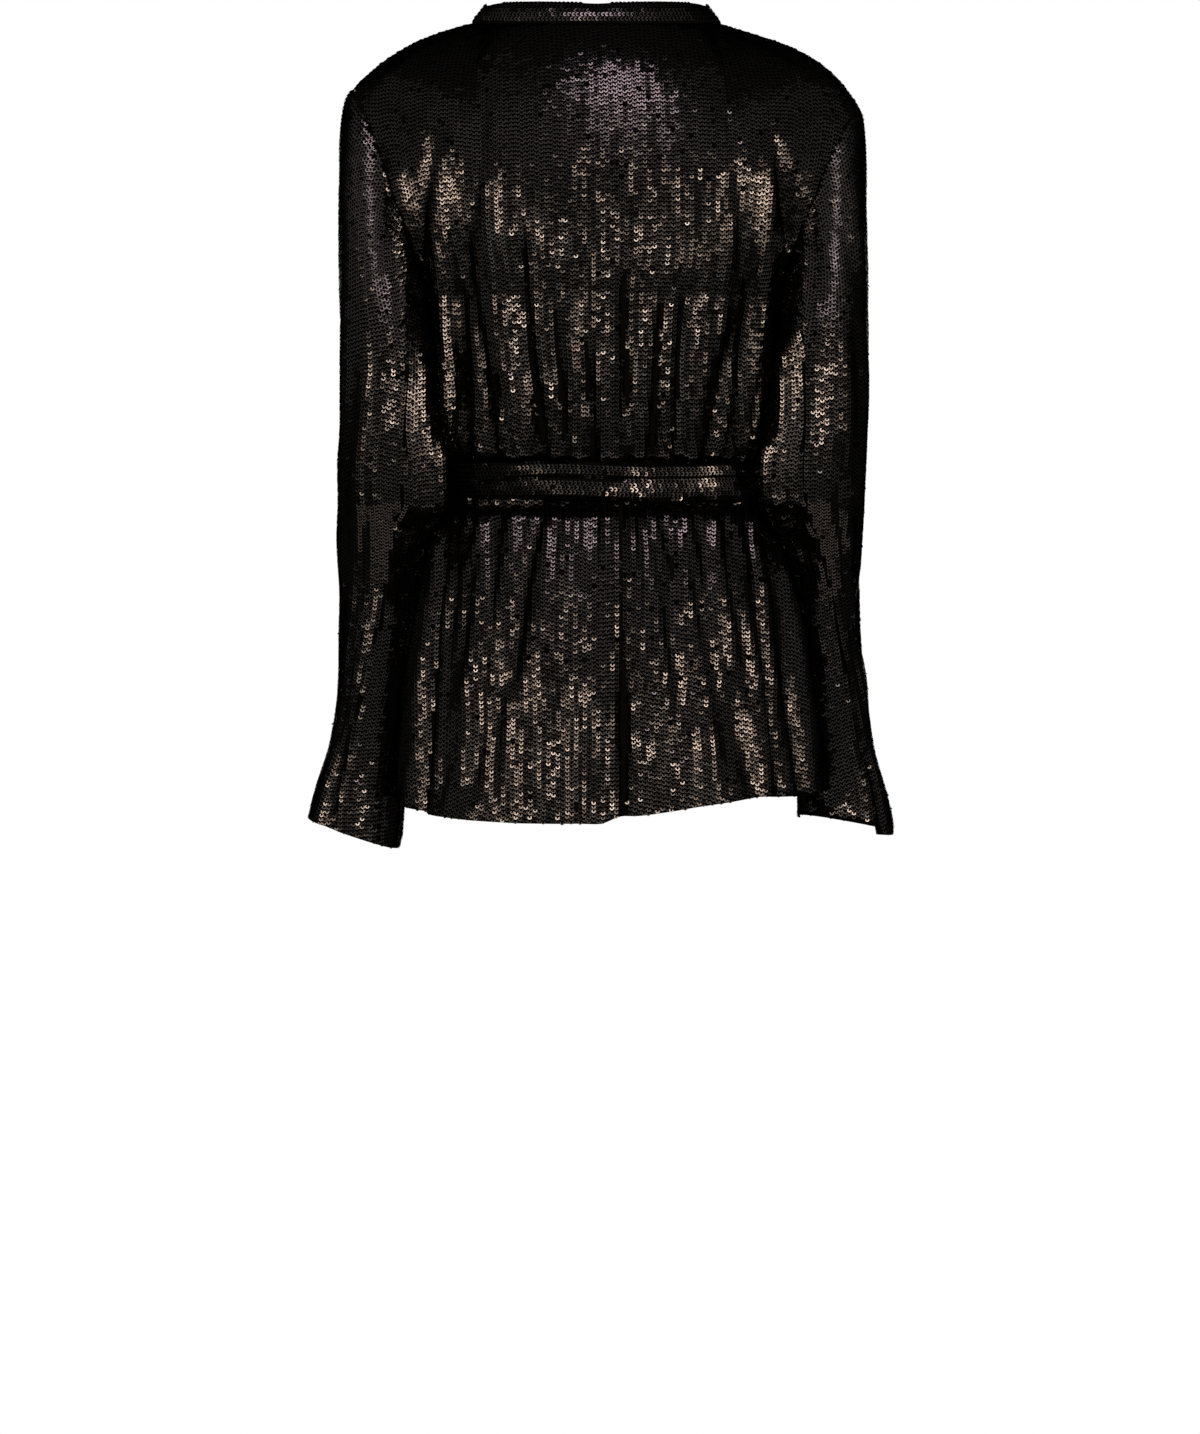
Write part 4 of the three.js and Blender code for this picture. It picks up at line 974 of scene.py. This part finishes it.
def collar_strip(turn):
    """Points of the collar behind the neck, from its lower edge up to the roll."""
    angle = turn * math.pi / 2
    facing = math.cos(angle)
    fall = lerp(COLLAR_FALL["fall"][-1], COLLAR_BACK_FALL, facing)
    away = np.array([math.sin(angle), facing, 0])
    slope = COLLAR_BACK_SLOPE * facing
    out = unit(np.array([away[0] * slope, away[1] * slope, 1]))
    neck = neckline(np.array(angle))
    drop = slope * fall + COLLAR_SIDE_DROP * (1 - facing) ** 3
    edge = neck + away * fall - (0, 0, drop) + out * COLLAR_EDGE_LIFT
    swelling = COLLAR_ROLL["swell"] * math.sin(2 * abs(angle))
    height = lerp(COLLAR_ROLL["side"], COLLAR_ROLL["middle"], facing) + swelling
    roll = neck + (0, 0, height) + away * (1 - COLLAR_LEAN * facing)
    bow = np.sin(COLLAR_ACROSS * math.pi) * COLLAR_BOW
    return lerp(edge, roll, COLLAR_ACROSS[:, None]) + away * bow[:, None]


def collar_grid(rows, columns):
    left = lapel_strips(1, LEFT_LAPEL_END_Z)
    right = lapel_strips(-1, RIGHT_LAPEL_END_Z)
    behind = [collar_strip(1 - (i + 1) * 2 / (COLLAR_STRIPS + 1)) for i in range(COLLAR_STRIPS)]
    coarse = np.stack(left + behind + right[::-1])
    p = refine(coarse, rows, columns)
    n = grid_normals(p, 1)
    outward = np.sign(n[rows // 2, columns // 2, 1])
    return p, n * outward


def belt_base(turn, z, out):
    """Outer surface of the belt's place round the body, clear of the wrapped fronts."""
    wrap = np.where(turn > 2, 4 - turn, np.abs(turn))
    lift = WRAP_LIFT * smooth(wrap, *BELT_LIFT_TURNS)
    clear = BELT_CLEAR + WALL + BELT_EASE + lift + out
    p = sink(body_point(turn, np.full_like(turn, BELT_MIDDLE_Z)), -clear)
    p[..., 2] = z
    return p


def waves(angle, rows, slant=0):
    """Sum of the waves in a table, each with its size, how many in a turn, and phase."""
    return sum(size * np.sin(angle * times + phase + slant) for size, times, phase in rows)


def round_normals(p):
    along = np.roll(p, -1, axis=1) - np.roll(p, 1, axis=1)
    return unit(np.cross(along, np.gradient(p, axis=0)))


def belt_grid(columns, rows):
    """The sash: lengthwise pleats that wander, cross over at the left and lie one over the next."""
    turn = np.linspace(0, 4, columns, endpoint=False)[None, :]
    v = np.linspace(0, 1, rows)[:, None]
    angle = turn * math.pi / 2
    edge, fold = BELT_EDGE, BELT_PLEAT
    crossing = sum(smooth(turn, *place) for place in BELT_CROSSINGS)
    pleat = (v ** fold["crowding"] * BELT_PLEATS + waves(angle, BELT_WANDER) + crossing) % 1
    step = BELT_PLEAT_DEPTH * smooth(pleat, 0, fold["rises"])
    step = step * (1 - fold["fall"] * smooth(pleat, fold["falls_from"], 1))
    rolled = edge["roll"] * (smooth(np.minimum(v, 1 - v), 0, edge["reach"]) - 1)
    tipped = BELT_TIP * (v - 0.5) * within(turn, *BELT_TIP_TURNS)
    out = rolled + step - BELT_SINK + waves(angle, BELT_PUCKER, v * BELT_PUCKER_SLANT) + tipped
    lifted = edge["lift"] * smooth(np.sin(angle), edge["lift_from"], edge["lift_to"])
    low = BELT_LOW_Z + edge["low"] + lifted + waves(angle, BELT_LOW_WAVE)
    high = BELT_TOP_Z + edge["top"] + waves(angle, BELT_TOP_WAVE)
    p = belt_base(np.broadcast_to(turn, (rows, columns)), lerp(low, high, v), out)
    n = round_normals(p)
    return p, n * np.sign(np.sum(n[..., :2] * p[..., :2]))


def squared(value):
    return np.sign(value) * np.abs(value) ** KNOT["squareness"]


def knot_grid(columns, rows):
    """The knot: cloth wound over the belt, gathered in slanting folds."""
    angle = np.linspace(0, 2 * math.pi, columns, endpoint=False)[None, :]
    tilt = np.linspace(-KNOT["tilt"], KNOT["tilt"], rows)[:, None]
    apart = np.sin(angle + tilt * KNOT_CREASE["slant"]) / KNOT_CREASE["wide"]
    folds = 1 + waves(angle, KNOT_WAVE, tilt * KNOT_WAVE_SLANT) - KNOT_CREASE["deep"] * np.exp(-(apart**2))
    x = squared(np.cos(tilt) * np.cos(angle)) * KNOT["width"] / 2 * folds
    y = squared(np.cos(tilt) * np.sin(angle)) * KNOT["depth"] / 2
    z = squared(np.sin(tilt)) * KNOT["height"] / 2 * folds
    base = belt_base(np.array([2.0]), 0, KNOT["clear"])[0, 1]
    p = points(KNOT["x"] + x, base - SEAM - KNOT["depth"] / 2 + y, BELT_MIDDLE_Z + z)
    n = round_normals(p)
    middle = np.array([KNOT["x"], base - KNOT["depth"] / 2, BELT_MIDDLE_Z])
    return p, n * np.sign(np.sum(n * (p - middle)))


def end_grid(top_x, low_x, low_z, seed, rows, columns):
    """One hanging end of the belt: pleated at the knot, opening lower down, cut slanting at its end."""
    down = np.linspace(1, 0, rows)[:, None]
    across = np.linspace(-1, 1, columns)[None, :]
    z = lerp(BELT_MIDDLE_Z - KNOT["height"] / 2 - 1, low_z + END["slant"] * (1 + across) / 2, down)
    half = END_WIDTH / 2 * lerp(END["narrow"], 1, smooth(down, 0, END["opens_at"]))
    x = lerp(top_x, low_x, down) + across * half + END["sway"] * np.sin(down * END_SWAYS + seed) * down
    turn = 2 - np.arcsin(x / half_width(z, x)) * 2 / math.pi
    pleats = np.abs(np.sin(across * math.pi * END["pleats"])) * (1 - END["fading"] * down)
    wave = np.sin(down * END_WAVE["down"] + across * END_WAVE["across"] + seed)
    wave = END_WAVE["size"] * wave * smooth(down, END_WAVE["from"], END_WAVE["to"])
    p = sink(body_point(turn, z), -(WRAP_LIFT + WALL + END_CLEAR + END["pleat"] * pleats + wave))
    behind, before, reach = END_STANDS
    near = belt_base(np.array([2.0]), 0, 0)[0, 1]
    p[..., 1] = np.minimum(p[..., 1], near + lerp(behind, before, smooth(down, 0, reach)))
    n = grid_normals(p, 1)
    return p, n * np.sign(-np.sum(n[..., 1]))


def new_material(name):
    made = bpy.data.materials.new(name)
    made.use_nodes = True
    nodes, links = made.node_tree.nodes, made.node_tree.links
    nodes.clear()
    output = nodes.new("ShaderNodeOutputMaterial")
    shader = nodes.new("ShaderNodeBsdfPrincipled")
    links.new(shader.outputs["BSDF"], output.inputs["Surface"])
    return made, nodes, links, shader


def math_node(nodes, links, operation, *values):
    node = nodes.new("ShaderNodeMath")
    node.operation = operation
    for socket, value in zip(node.inputs, values):
        if isinstance(value, (int, float)):
            socket.default_value = value
        else:
            links.new(value, socket)
    return node.outputs[0]


def mixed_tones(nodes, links, factor, tones, colour_input):
    """Mixes two colours by a factor into a shader's colour."""
    mix = nodes.new("ShaderNodeMix")
    mix.data_type = "RGBA"
    links.new(factor, mix.inputs["Factor"])
    mix.inputs["A"].default_value, mix.inputs["B"].default_value = tones
    links.new(mix.outputs["Result"], colour_input)


def noise_tones(nodes, links, scale, tones, colour_input):
    noise = nodes.new("ShaderNodeTexNoise")
    noise.inputs["Scale"].default_value = scale
    mixed_tones(nodes, links, noise.outputs["Fac"], tones, colour_input)
    return noise


def sequin_material():
    """Glossy black discs, black and dull at the hole and across the top. The top is a painted shadow under
    the next disc, which lies over it, and the hole is widened by painted shade round it.
    """
    made, nodes, links, shader = new_material("sequin")
    uv = nodes.new("ShaderNodeUVMap")
    uv.uv_map = "OFBake"
    split = nodes.new("ShaderNodeSeparateXYZ")
    links.new(uv.outputs["UV"], split.inputs[0])

    def calc(operation, *values):
        return math_node(nodes, links, operation, *values)

    x = calc("SUBTRACT", split.outputs[0], 0.5)
    y = calc("SUBTRACT", split.outputs[1], 0.5)
    radius = calc("SQRT", calc("ADD", calc("MULTIPLY", x, x), calc("MULTIPLY", y, y)))
    # The dark centre is the real hole, widened by the thread and by painted shade.
    hole = calc("LESS_THAN", radius, HOLE_AND_SHADE_SHARE)
    # Painted shade: the hole and a band across each disc's top are made black and dull.
    hole_and_shade = calc("MAXIMUM", hole, calc("GREATER_THAN", y, SHADED_ABOVE))
    mixed_tones(nodes, links, hole_and_shade, (SEQUIN_COLOUR, HOLE_AND_SHADE_COLOUR), shader.inputs["Base Color"])
    rough = calc("ADD", SEQUIN_ROUGHNESS, calc("MULTIPLY", hole_and_shade, DULL_ROUGHNESS))
    links.new(rough, shader.inputs["Roughness"])
    shader.inputs["Metallic"].default_value = 1
    # Painted shade: the dark edge tint dims grazing glints, where sequins would shade each other.
    shader.inputs["Specular Tint"].default_value = GRAZING_SHADE_TINT
    return made


def mesh_material():
    """The black knitted mesh that the sequins are sewn to, with the run of its threads."""
    made, nodes, links, shader = new_material("mesh_cloth")
    place = nodes.new("ShaderNodeTexCoord").outputs["Object"]
    bands = []
    for turned in ("X", "Z"):
        wave = nodes.new("ShaderNodeTexWave")
        wave.bands_direction = turned
        wave.inputs["Scale"].default_value = THREAD_SCALE
        wave.inputs["Distortion"].default_value = THREAD_WAVER
        links.new(place, wave.inputs["Vector"])
        bands.append(wave.outputs["Fac"])
    weave = math_node(nodes, links, "MULTIPLY", *bands)
    noise = noise_tones(nodes, links, MESH_NOISE, MESH_TONES, shader.inputs["Base Color"])
    links.new(place, noise.inputs["Vector"])
    bump = nodes.new("ShaderNodeBump")
    bump.inputs["Strength"].default_value = THREAD_STRENGTH
    bump.inputs["Distance"].default_value = THREAD_HEIGHT * MM
    links.new(weave, bump.inputs["Height"])
    links.new(bump.outputs["Normal"], shader.inputs["Normal"])
    shader.inputs["Roughness"].default_value = MESH_ROUGHNESS
    shader.inputs["Specular IOR Level"].default_value = MESH_GLOSS
    return made


def add_camera():
    data = bpy.data.cameras.new("camera")
    data.sensor_width = SENSOR_MM
    data.lens = CAMERA_AT[1] / (PIXEL_MM * MM * PHOTO_HEIGHT) * SENSOR_MM
    camera = bpy.data.objects.new("camera", data)
    camera.location = CAMERA_AT
    camera.rotation_euler = (Vector(CAMERA_AIM) - Vector(CAMERA_AT)).to_track_quat("-Z", "Y").to_euler()
    bpy.context.scene.collection.objects.link(camera)
    bpy.context.scene.camera = camera


def add_light(name, across, up, distance, size, brightness, colour):
    """A soft box that faces the garment. Its power comes from how bright it looks in a sequin."""
    data = bpy.data.lights.new(name, "AREA")
    data.shape = "RECTANGLE"
    data.size, data.size_y = size
    data.energy = brightness * math.pi * size[0] * size[1]
    data.color = colour
    light = bpy.data.objects.new(name, data)
    across, up = math.radians(across), math.radians(up)
    way = Vector((math.sin(across) * math.cos(up), math.cos(across) * math.cos(up), math.sin(up)))
    light.location = Vector(LIGHTS_ROUND) + way * distance
    light.rotation_euler = (-way).to_track_quat("-Z", "Y").to_euler()
    light.visible_camera = False
    bpy.context.scene.collection.objects.link(light)


def add_world():
    """A white backdrop to the eye, in a room that is otherwise dim."""
    world = bpy.data.worlds.new("world")
    bpy.context.scene.world = world
    world.use_nodes = True
    nodes, links = world.node_tree.nodes, world.node_tree.links
    nodes.clear()
    output = nodes.new("ShaderNodeOutputWorld")
    background = nodes.new("ShaderNodeBackground")
    path = nodes.new("ShaderNodeLightPath")
    strength = math_node(nodes, links, "MAXIMUM", path.outputs["Is Camera Ray"], ROOM_LIGHT)
    background.inputs["Color"].default_value = (1, 1, 1, 1)
    links.new(strength, background.inputs["Strength"])
    links.new(background.outputs["Background"], output.inputs["Surface"])


def add_floor():
    angles = np.linspace(0, 2 * math.pi, FLOOR_SIDES, endpoint=False)
    rim = points(FLOOR_RADIUS * np.cos(angles), FLOOR_RADIUS * np.sin(angles), FLOOR_Z)
    floor = make_mesh("floor", rim, np.arange(FLOOR_SIDES), [FLOOR_SIDES])
    made, nodes, links, shader = new_material("pale_floor")
    noise_tones(nodes, links, FLOOR_NOISE, FLOOR_TONES, shader.inputs["Base Color"])
    shader.inputs["Roughness"].default_value = FLOOR_ROUGHNESS
    floor.data.materials.append(made)


def dress(name, grids, centre, seed, slot_name="sequin_cloth", closed=False):
    """One piece, named as the node it replaces: its cloth and its sequins."""
    (p, n), (fine, fine_normals) = grids
    cloth = shell(name + "_cloth", p, n, MATERIALS["mesh"], closed)
    places, outs, ups = lattice(fine, fine_normals, centre, seed)
    if slot_name == "sequin_cloth":
        places, outs = crowd(places, outs)
    discs = sequins(name + "_sequins", places, outs, ups, seed + DISC_SEED, MATERIALS["sequin"])
    for piece in (cloth, discs):
        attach(piece, "root")
    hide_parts(name)


def joined(grid):
    """A round grid with its first column again at its end."""
    return [np.concatenate([part, part[:, :1]], axis=1) for part in grid]


def build_back():
    grids = [back_grid(columns, *rows) for columns, rows in zip(BACK_COLUMNS, BODY_ROWS)]
    dress("back", grids, BACK_COLUMNS[1] // 2, 101)


def build_side(side, name, seed):
    """The front and the sleeve of one side."""
    grids = [front_grid(side, columns, *rows) for columns, rows in zip(FRONT_COLUMNS, BODY_ROWS)]
    dress("front_" + name, grids, 0, seed)
    turns = (FRONT_SEAM_TURN, BACK_SEAM_TURN + 360)
    both = zip(SLEEVE_TOP_COLUMNS, SLEEVE_ROWS)
    grids = [sleeve_part(side, *turns, columns, *rows) for columns, rows in both]
    middle = SLEEVE_TOP_COLUMNS[1] // 2
    dress(f"sleeve_{name}_top", grids, middle, seed + 1)
    turns = (BACK_SEAM_TURN, FRONT_SEAM_TURN)
    both = zip(SLEEVE_UNDER_COLUMNS, SLEEVE_ROWS)
    rise = RIGHT_CUFF_STEP if side < 0 else 0
    grids = [sleeve_part(side, *turns, columns, *rows, rise) for columns, rows in both]
    middle = SLEEVE_UNDER_COLUMNS[1] // 2
    dress(f"sleeve_{name}_under", grids, middle, seed + 2)


def build_collar():
    grids = [collar_grid(*counts) for counts in COLLAR_GRIDS]
    dress("collar", grids, 0, 404)


def build_belt():
    cloth, fine = [belt_grid(*counts) for counts in BELT_GRIDS]
    fine = [part.swapaxes(0, 1) for part in joined(fine)]
    dress(
        "belt", (cloth, fine), 0, 505,
        slot_name="sequin_belt", closed=True,
    )
    cloth, fine = [knot_grid(*counts) for counts in KNOT_GRIDS]
    dress(
        "belt_knot", (cloth, joined(fine)), 0, 606,
        slot_name="sequin_belt", closed=True,
    )
    for name, top_x, low_x, low_z, seed in BELT_ENDS:
        grids = [end_grid(top_x, low_x, low_z, seed, *counts) for counts in END_GRIDS]
        dress(
            "belt_end_" + name, grids, 0, seed,
            slot_name="sequin_belt",
        )


add_camera()
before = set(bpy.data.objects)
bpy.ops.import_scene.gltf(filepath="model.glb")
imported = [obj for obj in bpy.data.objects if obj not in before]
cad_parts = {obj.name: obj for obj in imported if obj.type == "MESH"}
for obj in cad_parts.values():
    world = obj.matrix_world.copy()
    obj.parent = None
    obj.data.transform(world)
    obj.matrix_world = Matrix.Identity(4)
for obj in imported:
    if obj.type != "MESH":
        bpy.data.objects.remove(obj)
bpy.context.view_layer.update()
MATERIALS = {"mesh": mesh_material(), "sequin": sequin_material()}
add_world()
add_floor()
for light in LIGHTS:
    add_light(*light)
build_back()
build_side(1, "left", 202)
build_side(-1, "right", 303)
build_collar()
build_belt()
bpy.context.scene.view_settings.view_transform = "Standard"
